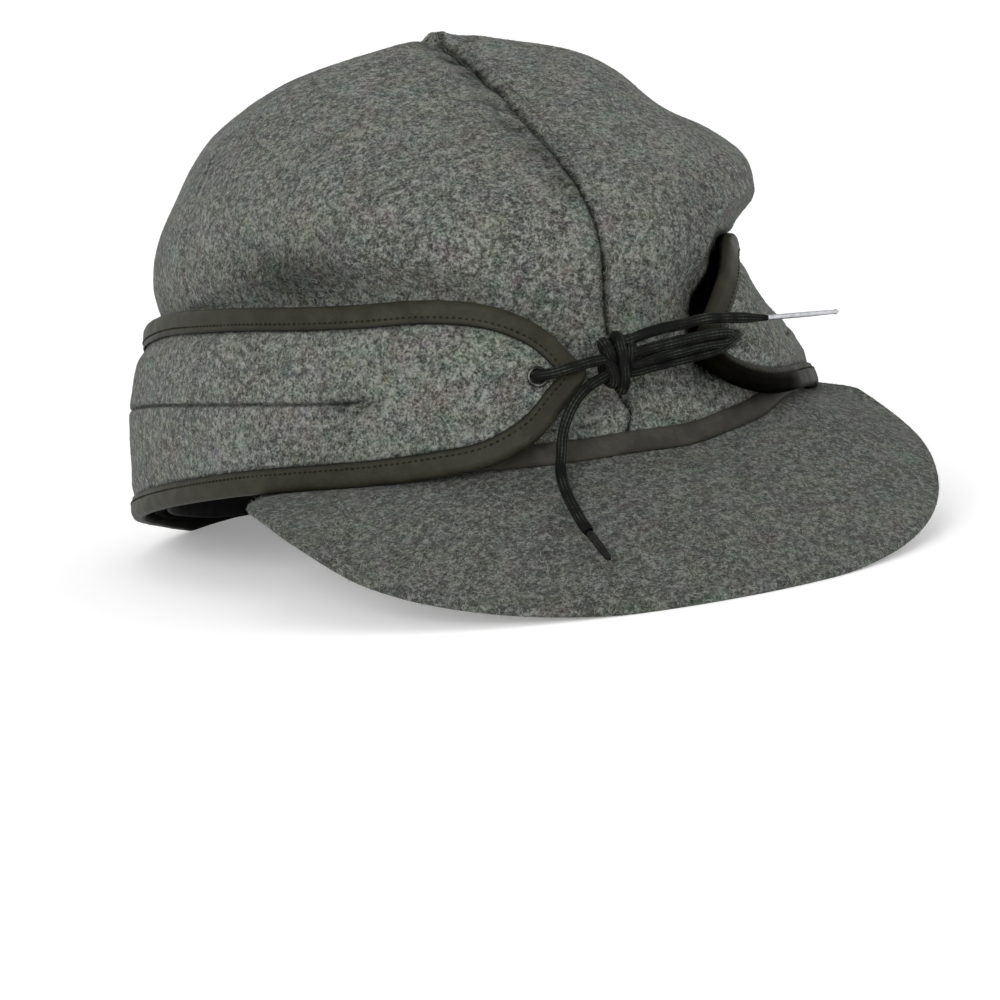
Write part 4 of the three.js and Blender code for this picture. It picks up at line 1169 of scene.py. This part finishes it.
def makeFeltGroup():
    tree, given, result = newGroup(
        "woolFelt", ("Wool", "Color", None), ("Light Fibre", "Color", None),
        ("Dark Fibre", "Color", None), ("Patch Amount", "Float", 0.5), ("Grain Amount", "Float", 0.5),
        ("Fibre Amount", "Float", 0.5), ("Shade", "Float", 0.0))
    place = given["Vector"]
    clump = ranged(tree, noise(tree, place, *felt["clump"]), toLow=-1.0)
    rough = noise(tree, place, *felt["grain"])
    grain = ranged(tree, rough, 0.28, 0.72, -1.0)
    light = hairs(tree, place, felt["lightHairs"])
    dark = hairs(tree, place, felt["darkHairs"])
    both = maths(tree, "ADD", times(tree, clump, felt["clumpShare"]), grain)
    speckle = times(tree, both, given["Grain Amount"])
    tint = noise(tree, place, *felt["tint"], give="Color")
    colour = mixed(tree, given["Patch Amount"], given["Wool"], tint, "SOFT_LIGHT")
    tone = 1.0
    for t in felt["tones"]:
        patches = noise(tree, place, t["scale"], t["detail"], t["rough"])
        tone = times(tree, ranged(tree, patches, toLow=t["low"], toHigh=t["high"]), tone)
    colour = scaled(tree, colour, tone)
    shares = (
        (maths(tree, "ADD", speckle, 0.0, True), "Light Fibre"),
        (maths(tree, "MULTIPLY", speckle, -1.0, True), "Dark Fibre"),
        (times(tree, dark, given["Fibre Amount"]), "Dark Fibre"),
        (times(tree, light, given["Fibre Amount"]), "Light Fibre"),
    )
    for share, fibreKind in shares:
        colour = mixed(tree, share, colour, given[fibreKind])
    # Painted shade: the Shade input darkens the colour
    fold = maths(tree, "SUBTRACT", 1.0, times(tree, given["Shade"], felt["deepest"]))
    lumps = maths(tree, "ADD", times(tree, clump, 0.5), times(tree, grain, 0.35))
    height = maths(tree, "ADD", maths(tree, "SUBTRACT", light, times(tree, dark, 0.6)), lumps)
    roughness = ranged(tree, rough, toLow=0.86)
    return finishGroup(tree, result, scaled(tree, colour, fold), roughness, height)


# Satin tape: fine threads along its run, worn patches, a painted shadow line along one edge, and painted
# shade from its Shade input
satin = {"patches": 180.0, "folds": 420.0, "threads": (6.0, 60.0, 1.0), "edgeStart": 0.01, "deepest": 0.95}


def makeSatinGroup():
    tree, given, result = newGroup(
        "satinTape", ("Run", "Vector", None), ("Tape", "Color", None), ("Worn Tape", "Color", None),
        ("Edge Shade", "Float", 1.0), ("Edge Width", "Float", 0.08), ("Shade", "Float", 0.0))
    patches = noise(tree, given["Vector"], satin["patches"], 3.0, 0.6)
    weave = noise(tree, mapped(tree, given["Run"], satin["threads"]), 1.4, 3.0, 0.6)
    folds = noise(tree, given["Vector"], satin["folds"])
    worn = ranged(tree, patches, 0.42, 0.72)
    over = put(tree, "ShaderNodeSeparateXYZ", {0: given["Run"]}).outputs["Y"]
    # Painted shadow line along the edge where the tape's cross run starts
    edge = ranged(tree, over, satin["edgeStart"], given["Edge Width"], given["Edge Shade"])
    fine = times(tree, ranged(tree, weave, toLow=0.8, toHigh=1.25), edge)
    # Painted shade: the Shade input darkens the colour
    fold = maths(tree, "SUBTRACT", 1.0, times(tree, given["Shade"], satin["deepest"]))
    colour = scaled(tree, mixed(tree, worn, given["Tape"], given["Worn Tape"]), times(tree, fine, fold))
    roughness = ranged(tree, patches, toLow=0.46, toHigh=0.66)
    height = maths(tree, "ADD", times(tree, weave, 0.4), folds)
    return finishGroup(tree, result, colour, roughness, height)


# Braid: the same ribs and slanting stitches as in the lace's form; the strands' crests lighter in patches,
# a painted highlight and wear
braid = {"fuzz": 2600.0, "patches": 240.0}


def makeBraidGroup():
    tree, given, result = newGroup(
        "braidedLace", ("Run", "Vector", None), ("Lace", "Color", None), ("Worn Lace", "Color", None),
        ("Ribs", "Float", 10.0), ("Stitches", "Float", 7.7))
    run = put(tree, "ShaderNodeSeparateXYZ", {0: given["Run"]}).outputs
    wave = maths(tree, "COSINE", times(tree, times(tree, run["Y"], given["Ribs"]), math.pi))
    lengthWay = times(tree, times(tree, run["X"], given["Stitches"]), 2 * math.pi)
    slant = maths(tree, "COSINE", maths(tree, "ADD", lengthWay, times(tree, wave, math.pi)))
    strands = times(tree, times(tree, wave, wave), ranged(tree, slant, -1.0, 1.0, 0.6))
    fuzz = noise(tree, given["Vector"], braid["fuzz"], 2.0, 0.6)
    rubbed = ranged(tree, noise(tree, given["Vector"], braid["patches"]), 0.38, 0.64)
    # Painted highlight and wear: the strands' crests lighter, in rubbed patches
    worn = times(tree, ranged(tree, strands, 0.3, 1.0), rubbed)
    colour = mixed(tree, worn, given["Lace"], given["Worn Lace"])
    roughness = ranged(tree, fuzz, toLow=0.55, toHigh=0.8)
    return finishGroup(
        tree, result, colour, roughness, maths(tree, "ADD", times(tree, strands, 0.6), fuzz))


# Metal and film with rubbed patches and fine lines
wornMetal = {"patches": 700.0, "lines": 4200.0, "turn": (0.3, 0.6, 0.2), "stretch": (0.1, 1, 1)}


def makeWornMetalGroup():
    tree, given, result = newGroup(
        "wornMetal", ("Metal", "Color", None), ("Rubbed", "Color", None), ("Rub Low", "Float", 0.45),
        ("Rub High", "Float", 0.7))
    patches = noise(tree, given["Vector"], wornMetal["patches"], 4.0, 0.6)
    scratches = mapped(tree, given["Vector"], wornMetal["stretch"], wornMetal["turn"])
    rubbed = ranged(tree, patches, given["Rub Low"], given["Rub High"])
    colour = mixed(tree, rubbed, given["Metal"], given["Rubbed"])
    roughness = ranged(tree, patches, toLow=0.28, toHigh=0.45)
    return finishGroup(tree, result, colour, roughness, noise(tree, scratches, wornMetal["lines"]))


groups = {"felt": makeFeltGroup(), "satin": makeSatinGroup(), "braid": makeBraidGroup(),
          "metal": makeWornMetalGroup()}


def newMaterial(name):
    material = bpy.data.materials.new(name)
    material.use_nodes = True
    tree = material.node_tree
    return material, tree, next(n for n in tree.nodes if n.type == "BSDF_PRINCIPLED")


# One material: a group for what changes over the surface, and a Principled shader
def makeMaterial(name, group, values, bump, bumpDistance, run=False, shade=False, **shaderValues):
    material, tree, shader = newMaterial(name)
    place = put(tree, "ShaderNodeTexCoord").outputs["Object"]
    node = put(tree, "ShaderNodeGroup", {}, node_tree=groups[group])
    tree.links.new(place, node.inputs["Vector"])
    if run:
        tree.links.new(put(tree, "ShaderNodeUVMap", {}, uv_map="run").outputs["UV"], node.inputs["Run"])
    # With shade, the shade attribute paints shade into the colour and also dims sheen and specular there
    if shade:
        dark = put(tree, "ShaderNodeAttribute", {}, attribute_name="shade").outputs["Fac"]
        tree.links.new(dark, node.inputs["Shade"])
        lit = maths(tree, "SUBTRACT", 1.0, dark)
    for key, value in values.items():
        node.inputs[key].default_value = value
    links = {"Strength": bump, "Distance": bumpDistance, "Height": node.outputs["Height"]}
    relief = put(tree, "ShaderNodeBump", links)
    tree.links.new(node.outputs["Color"], shader.inputs["Base Color"])
    tree.links.new(node.outputs["Roughness"], shader.inputs["Roughness"])
    tree.links.new(relief.outputs["Normal"], shader.inputs["Normal"])
    for key, value in shaderValues.items():
        socket = shader.inputs[key.replace("_", " ")]
        socket.default_value = value
        if shade and key in ("Sheen_Weight", "Specular_IOR_Level"):
            tree.links.new(times(tree, lit, value), socket)
    return material


woolColours = {
    "Wool": (0.101, 0.109, 0.093, 1), "Light Fibre": (0.26, 0.272, 0.24, 1),
    "Dark Fibre": (0.024, 0.026, 0.024, 1), "Patch Amount": 0.66, "Grain Amount": 1.3, "Fibre Amount": 0.4,
}
# The peak's wool is the crown's wool with darker wool and light fibres: painted shade
visorWoolPaintedShade = dict(woolColours, Wool=(0.061, 0.067, 0.056, 1), **{"Light Fibre": (0.19, 0.20, 0.174, 1)})
clothSheen = {"Sheen_Weight": 0.1, "Sheen_Roughness": 0.5, "Specular_IOR_Level": 0.1}
looks = {
    "bindingTape": {"Tape": (0.0185, 0.0178, 0.0105, 1), "Worn Tape": (0.033, 0.032, 0.0195, 1),
                    "Edge Shade": 0.15, "Edge Width": 0.10},
    "seamTape": {"Tape": (0.026, 0.0245, 0.0195, 1), "Worn Tape": (0.048, 0.045, 0.036, 1)},
    "sweatCloth": {"Tape": (0.0035, 0.0035, 0.0035, 1), "Worn Tape": (0.006, 0.006, 0.0055, 1)},
    "blackLace": {"Lace": (0.005, 0.0055, 0.005, 1), "Worn Lace": (0.050, 0.056, 0.046, 1)},
    "thread": {"Tape": (0.0095, 0.0092, 0.0065, 1), "Worn Tape": (0.019, 0.018, 0.012, 1)},
    "woolThread": {"Tape": (0.045, 0.047, 0.042, 1), "Worn Tape": (0.070, 0.072, 0.066, 1)},
    "eyeletMetal": {"Metal": (0.035, 0.035, 0.033, 1), "Rubbed": (0.20, 0.205, 0.19, 1)},
    "brightTip": {"Metal": (0.55, 0.56, 0.58, 1), "Rubbed": (0.38, 0.39, 0.40, 1)},
    "darkTip": {"Metal": (0.006, 0.006, 0.006, 1), "Rubbed": (0.011, 0.011, 0.01, 1)},
}
# Each material's group, the strength and depth of its relief, and its shader's values
surfaces = {
    "bindingTape": ("satin", 0.35, 0.0002, {"run": True, "shade": True, "Specular_IOR_Level": 0.15}),
    "seamTape": ("satin", 0.35, 0.0002, {"run": True, "Specular_IOR_Level": 0.14}),
    "sweatCloth": ("satin", 0.5, 0.0002, {"Specular_IOR_Level": 0.05}),
    "blackLace": ("braid", 0.5, 0.00015, {"run": True, "Specular_IOR_Level": 0.06}),
    "thread": ("satin", 0.2, 0.00005, {"Specular_IOR_Level": 0.05}),
    "woolThread": ("satin", 0.2, 0.00005, {"Specular_IOR_Level": 0.2}),
    "eyeletMetal": ("metal", 0.2, 0.00005, {"Metallic": 1.0}),
    "brightTip": ("metal", 0.2, 0.00004, {"Metallic": 1.0}),
    "darkTip": ("metal", 0.15, 0.00005, {"Specular_IOR_Level": 0.12}),
}
materials = {}
for name, look in (("crownWool", woolColours), ("bandWool", woolColours), ("visorWoolPaintedShade", visorWoolPaintedShade)):
    materials[name] = makeMaterial(name, "felt", look, *felt["relief"], shade=True, **clothSheen)
for name, (group, bump, depth, values) in surfaces.items():
    materials[name] = makeMaterial(name, group, looks[name], bump, depth, **values)


# Loose fibres: each takes its own tone between dark and light, and its own lean, size and turn
fibreLook = {
    "dark": (0.02, 0.021, 0.02, 1), "middle": (0.09, 0.095, 0.085, 1), "light": (0.30, 0.31, 0.275, 1),
    "middleAt": 0.6, "Roughness": 0.8, "Specular IOR Level": 0.2,
}
fibreForm = {
    "bow": 0.9, "level": 0.2, "arch": 4.0, "leastTurn": (-0.16, -0.16, 0.0), "mostTurn": (0.16, 0.16, 6.28),
    "smallest": (0.5, 0.7, 0.3), "largest": (1.25, 1.2, 1.3),
}


def makeFibreMaterial(name):
    material, tree, shader = newMaterial(name)
    tone = put(tree, "ShaderNodeAttribute", {}, attribute_name="tone")
    ramp = put(tree, "ShaderNodeValToRGB", {"Fac": tone.outputs["Fac"]})
    ramp.color_ramp.elements[0].color = fibreLook["dark"]
    ramp.color_ramp.elements[1].color = fibreLook["light"]
    ramp.color_ramp.elements.new(fibreLook["middleAt"]).color = fibreLook["middle"]
    tree.links.new(ramp.outputs["Color"], shader.inputs["Base Color"])
    for key in ("Roughness", "Specular IOR Level"):
        shader.inputs[key].default_value = fibreLook[key]
    return material


materials["fibre"] = makeFibreMaterial("fibre")


# Layouts: node trees that lay one small shape many times over a surface or along a line
def newLayout(name, *inputs):
    inputs = [("Geometry", "Geometry", None), *inputs, ("Seed", "Int", 1), ("Material", "Material", None)]
    return newTree(name, "GeometryNodeTree", inputs, [("Geometry", "Geometry")])


def randomValue(tree, low, high, seed, kind="FLOAT"):
    node = put(tree, "FunctionNodeRandomValue", {"Seed": seed}, data_type=kind)
    sockets = [x for x in node.inputs if x.enabled and x.name in ("Min", "Max")]
    for socket, value in zip(sockets, (low, high)):
        socket.default_value = value
    return next(x for x in node.outputs if x.enabled)


def attribute(tree, name, kind):
    return put(tree, "GeometryNodeInputNamedAttribute", {"Name": name}, data_type=kind).outputs[0]


def finishLayout(tree, geometry, material, result):
    smooth = put(tree, "GeometryNodeSetShadeSmooth", {"Geometry": geometry})
    whole = put(tree, "GeometryNodeRealizeInstances", {"Geometry": smooth.outputs[0]})
    given = put(tree, "GeometryNodeSetMaterial", {"Geometry": whole.outputs[0], "Material": material})
    tree.links.new(given.outputs[0], result["Geometry"])
    return tree


# Stitches: a rounded bar on each point, laid along the seam
def makeStitchLayout():
    tree, given, result = newLayout(
        "stitchLine", ("Length", "Float", 0.001), ("Width", "Float", 0.0003), ("Height", "Float", 0.0003))
    ways = {0: attribute(tree, "out", "FLOAT_VECTOR"), 1: attribute(tree, "along", "FLOAT_VECTOR")}
    turn = put(tree, "FunctionNodeAxesToRotation", ways, primary_axis="Z", secondary_axis="X")
    sizes = {k: given[label] for k, label in enumerate(("Length", "Width", "Height"))}
    size = put(tree, "ShaderNodeCombineXYZ", sizes)
    vary = randomValue(tree, (0.42, 0.42, 0.42), (0.56, 0.56, 0.56), given["Seed"], "FLOAT_VECTOR")
    scale = put(tree, "ShaderNodeVectorMath", {0: size.outputs[0], 1: vary}, operation="MULTIPLY")
    bar = put(tree, "GeometryNodeMeshUVSphere", {"Segments": 8, "Rings": 5, "Radius": 1.0})
    laid = put(tree, "GeometryNodeInstanceOnPoints", {
        "Points": given["Geometry"], "Instance": bar.outputs["Mesh"], "Rotation": turn.outputs[0],
        "Scale": scale.outputs[0]})
    return finishLayout(tree, laid.outputs[0], given["Material"], result)


# Wool fibres: thin bent strips that lie on the felt, each with a tone of its own
def makeFibreLayout():
    tree, given, result = newLayout(
        "looseFibres", ("Density", "Float", 8e5), ("Length", "Float", 0.0022), ("Width", "Float", 0.0001),
        ("Rise", "Float", 0.0002))
    shown = attribute(tree, "shown", "FLOAT")
    onFace = put(tree, "FunctionNodeCompare", {0: shown, 1: 0.99}, operation="GREATER_THAN")
    spots = put(tree, "GeometryNodeDistributePointsOnFaces", {
        "Mesh": given["Geometry"], "Selection": onFace.outputs[0], "Density": given["Density"],
        "Seed": given["Seed"]})
    strip = put(tree, "GeometryNodeMeshGrid", {
        "Size X": given["Length"], "Size Y": given["Width"], "Vertices X": 3, "Vertices Y": 2})
    place = put(tree, "GeometryNodeInputPosition").outputs[0]
    x = put(tree, "ShaderNodeSeparateXYZ", {0: place}).outputs["X"]
    share = maths(tree, "DIVIDE", x, given["Length"])
    arch = times(tree, share, share)
    aside = times(tree, arch, times(tree, given["Length"], fibreForm["bow"]))
    fall = maths(tree, "SUBTRACT", fibreForm["level"], arch)
    above = times(tree, fall, times(tree, given["Rise"], fibreForm["arch"]))
    shift = put(tree, "ShaderNodeCombineXYZ", {0: 0.0, 1: aside, 2: above})
    moves = {"Geometry": strip.outputs["Mesh"], "Offset": shift.outputs[0]}
    bent = put(tree, "GeometryNodeSetPosition", moves)
    spin = [fibreForm["leastTurn"], fibreForm["mostTurn"], given["Seed"], "FLOAT_VECTOR"]
    turnBy = put(tree, "FunctionNodeEulerToRotation", {0: randomValue(tree, *spin)})
    turn = put(tree, "FunctionNodeRotateRotation",
               {0: spots.outputs["Rotation"], 1: turnBy.outputs[0]}, rotation_space="LOCAL")
    sizes = [fibreForm["smallest"], fibreForm["largest"], given["Seed"], "FLOAT_VECTOR"]
    scale = randomValue(tree, *sizes)
    laid = put(tree, "GeometryNodeInstanceOnPoints", {
        "Points": spots.outputs["Points"], "Instance": bent.outputs[0], "Rotation": turn.outputs[0],
        "Scale": scale})
    tone = randomValue(tree, 0.0, 1.0, given["Seed"])
    toned = put(tree, "GeometryNodeStoreNamedAttribute", {
        "Geometry": laid.outputs[0], "Name": "tone"}, data_type="FLOAT", domain="INSTANCE")
    tree.links.new(tone, next(x for x in toned.inputs if x.enabled and x.name == "Value"))
    return finishLayout(tree, toned.outputs[0], given["Material"], result)


layouts = {"stitch": makeStitchLayout(), "fibre": makeFibreLayout()}


# Lays a shape out once and keeps the result as a plain mesh
def laidOut(name, source, layout, values):
    work = newThing(name + "Source", source)
    modifier = work.modifiers.new("layout", "NODES")
    modifier.node_group = layouts[layout]
    for item in layouts[layout].interface.items_tree:
        if item.item_type == "SOCKET" and item.in_out == "INPUT" and item.name in values:
            modifier[item.identifier] = values[item.name]
    shape = work.evaluated_get(bpy.context.evaluated_depsgraph_get())
    mesh = bpy.data.meshes.new_from_object(shape)
    work.modifiers.remove(modifier)
    bpy.data.objects.remove(work)
    mesh.name = name
    spots = np.empty(3 * len(mesh.vertices), np.float32)
    mesh.vertices.foreach_get("co", spots)
    spots[2::3] = np.maximum(spots[2::3], 0)
    mesh.vertices.foreach_set("co", spots)
    return newThing(name, mesh)


def stitchPoints(name, route, outward, pitch):
    run = runAlong(route)
    count = int(run[-1] / pitch)
    marks = (np.arange(count) + 0.5) * run[-1] / count
    ahead = readAlong(marks + stitch["feel"], run, route)
    behind = readAlong(marks - stitch["feel"], run, route)
    out = unit(readAlong(marks, run, outward))
    mesh = bpy.data.meshes.new(name)
    mesh.from_pydata(placed(readAlong(marks, run, route)).tolist(), [], [])
    base = placed((0, 0, 0))
    for label, way in (("along", ahead - behind), ("out", out)):
        layer = mesh.attributes.new(label, "FLOAT_VECTOR", "POINT")
        layer.data.foreach_set("vector", unit(placed(way) - base).astype(np.float32).ravel())
    return mesh


# Stitches hold both sides of the binding, and a second row runs beside the front seam
stitch = {
    "bindingIn": 4.7, "bindingLift": 0.38, "bindingPitch": 1.7, "seamPitch": 2.4, "seamLow": 0.9,
    "seamHigh": 8.2, "seamSunk": 0.12, "feel": 0.3,
}
stitchSizes = {
    "bindingStitches": {"Length": 1.05, "Width": 0.6, "Height": 0.4},
    "frontSeamStitches": {"Length": 1.7, "Width": 0.32, "Height": 0.3},
}


def layStitches(name, source, seed, material):
    sizes = {label: value / 1000 for label, value in stitchSizes[name].items()}
    return laidOut(name, source, "stitch", dict(sizes, Seed=seed, Material=materials[material]))


def makeBindingStitches():
    at, z = movedIn(outline, stitch["bindingIn"]).T
    route = bandAt(at, z, np.full(len(at), -stitch["bindingLift"]))
    source = stitchPoints("bindingStitchPoints", route, bandOut(at, z), stitch["bindingPitch"])
    return layStitches("bindingStitches", source, 5, "thread")


def makeSeamStitches():
    t = np.linspace(stitch["seamLow"], stitch["seamHigh"], 200)
    reach = np.hypot(*crownFace(0 * t, t)[:, :2].T)
    angle = seamLine(0.0, t) + np.degrees(crown["topstitch"] / np.maximum(reach, 8))
    out = crownOut(angle, t)
    route = crownFace(angle, t) - out * (crown["topstitchDip"] - stitch["seamSunk"])
    source = stitchPoints("seamStitchPoints", route, out, stitch["seamPitch"])
    return layStitches("frontSeamStitches", source, 6, "woolThread")


pieces["bindingStitches"] = makeBindingStitches()
pieces["frontSeamStitches"] = makeSeamStitches()
print("stitches laid")

# Loose fibres on the wool
fibre = {"Density": 9e5, "Length": 0.0021, "Width": 0.00011, "Rise": 0.00016}
fibreSeed = 20
woolPieces = ("crownFrontRight", "crownFrontLeft", "crownBackLeft", "crownBackRight", "earBand", "peakWool")
for seed, under in enumerate(woolPieces, fibreSeed):
    name = under + "Fibres"
    values = dict(fibre, Seed=seed, Material=materials["fibre"])
    pieces[name] = laidOut(name, pieces[under].data.copy(), "fibre", values)
    print("fibres on", under, len(pieces[name].data.polygons))

# Each piece's material, its slot and the nodes it takes the place of
finishes = {
    "crownFrontRight": ("crownWool", "crown_wool", ["crown_front_right"]),
    "crownFrontLeft": ("crownWool", "crown_wool", ["crown_front_left"]),
    "crownBackLeft": ("crownWool", "crown_wool", ["crown_back_left"]),
    "crownBackRight": ("crownWool", "crown_wool", ["crown_back_right"]),
    "earBand": ("bandWool", "band_wool", ["ear_band"]),
    "earBandBinding": ("bindingTape", "binding_tape", ["ear_band_binding"]),
    "peakWool": ("visorWoolPaintedShade", "visor_wool", ["visor"]),
    "visorTape": ("seamTape", "seam_tape", ["visor_tape"]),
    "sweatCloth": ("sweatCloth", "sweatband_cloth", ["sweatband"]),
    "eyeletRimRight": ("eyeletMetal", "eyelet_metal", ["eyelet_right"]),
    "eyeletRimLeft": ("eyeletMetal", "eyelet_metal", ["eyelet_left"]),
    "laceTieRight": ("blackLace", "lace", ["lace_tie_right"]),
    "laceTieLeft": ("blackLace", "lace", ["lace_tie_left"]),
    "laceKnotWraps": ("blackLace", "lace", ["lace_knot"]),
    "laceBow": ("blackLace", "lace", ["lace_bow"]),
    "laceEndLeft": ("blackLace", "lace", ["lace_end_left"]),
    "laceEndRight": ("blackLace", "lace", ["lace_end_right"]),
    "tipSilver": ("brightTip", "bright_tip", ["aglet_silver"]),
    "tipDark": ("darkTip", "dark_tip", ["aglet_dark"]),
    "bindingStitches": ("thread", "binding_tape", []),
    "frontSeamStitches": ("woolThread", "crown_wool", []),
}
for under in woolPieces:
    finishes[under + "Fibres"] = ("fibre", finishes[under][1], [])
for name, (finish, slotName, nodes) in finishes.items():
    piece = pieces[name]
    piece.data.materials.clear()
    piece.data.materials.append(materials[finish])
    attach(piece, "root")
    if nodes:
        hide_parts(*nodes)
for name in ("lace_stop_right", "lace_stop_left"):
    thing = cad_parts[name]
    for slot in thing.material_slots:
        slot.link = "OBJECT"
        slot.material = materials["blackLace"]
print("materials given")


# Studio: a pale floor that curves up into a pale wall all round, and soft lights
studio = {
    "flat": 2.6, "curve": 1.6, "wall": 2.4, "sides": 96, "air": 0.5, "Base Color": (0.9, 0.9, 0.9, 1),
    "Roughness": 0.9, "Specular IOR Level": 0.1, "Emission Color": (1, 1, 1, 1), "Emission Strength": 0.27,
}


def makeStudio():
    profile = [(0.0, 0.0), (studio["flat"] / 2, 0.0)]
    curve = studio["curve"]
    for a in np.linspace(0, math.pi / 2, 14):
        profile.append((studio["flat"] + curve * math.sin(a), curve * (1 - math.cos(a))))
    profile.append((studio["flat"] + curve, curve + studio["wall"]))
    turn = np.linspace(0, 2 * math.pi, studio["sides"], endpoint=False)
    points = np.array([[(r * math.cos(a), r * math.sin(a), z) for r, z in profile] for a in turn])
    floor = makeMesh("studioFloor", points.reshape(-1, 3), gridQuads(len(turn), len(profile), True))
    paper, _, shader = newMaterial("paper")
    for key in ("Base Color", "Roughness", "Specular IOR Level", "Emission Color", "Emission Strength"):
        shader.inputs[key].default_value = studio[key]
    floor.data.materials.append(paper)


lights = rows(
    "name place size power",
    ("keyLight", (-1.45, -1.8, 1.0), 1.0, 26.0), ("topLight", (0.2, 0.5, 2.4), 1.8, 4.0),
    ("fillLight", (1.6, -1.6, 0.9), 1.4, 3.0),
)
lightAim = (0, 0.02, 0.07)


def makeLight(row):
    data = bpy.data.lights.new(row["name"], "AREA")
    data.shape = "DISK"
    data.size = row["size"]
    data.energy = row["power"]
    light = newThing(row["name"], data)
    light.location = row["place"]
    way = Vector(lightAim) - Vector(row["place"])
    light.rotation_euler = way.to_track_quat("-Z", "Y").to_euler()


makeStudio()
for row in lights:
    makeLight(row)
world = bpy.data.worlds.new("studioAir")
scene.world = world
world.use_nodes = True
air = world.node_tree.nodes["Background"]
air.inputs["Color"].default_value = (1, 1, 1, 1)
air.inputs["Strength"].default_value = studio["air"]
scene.view_settings.view_transform = "Standard"
print("studio set")
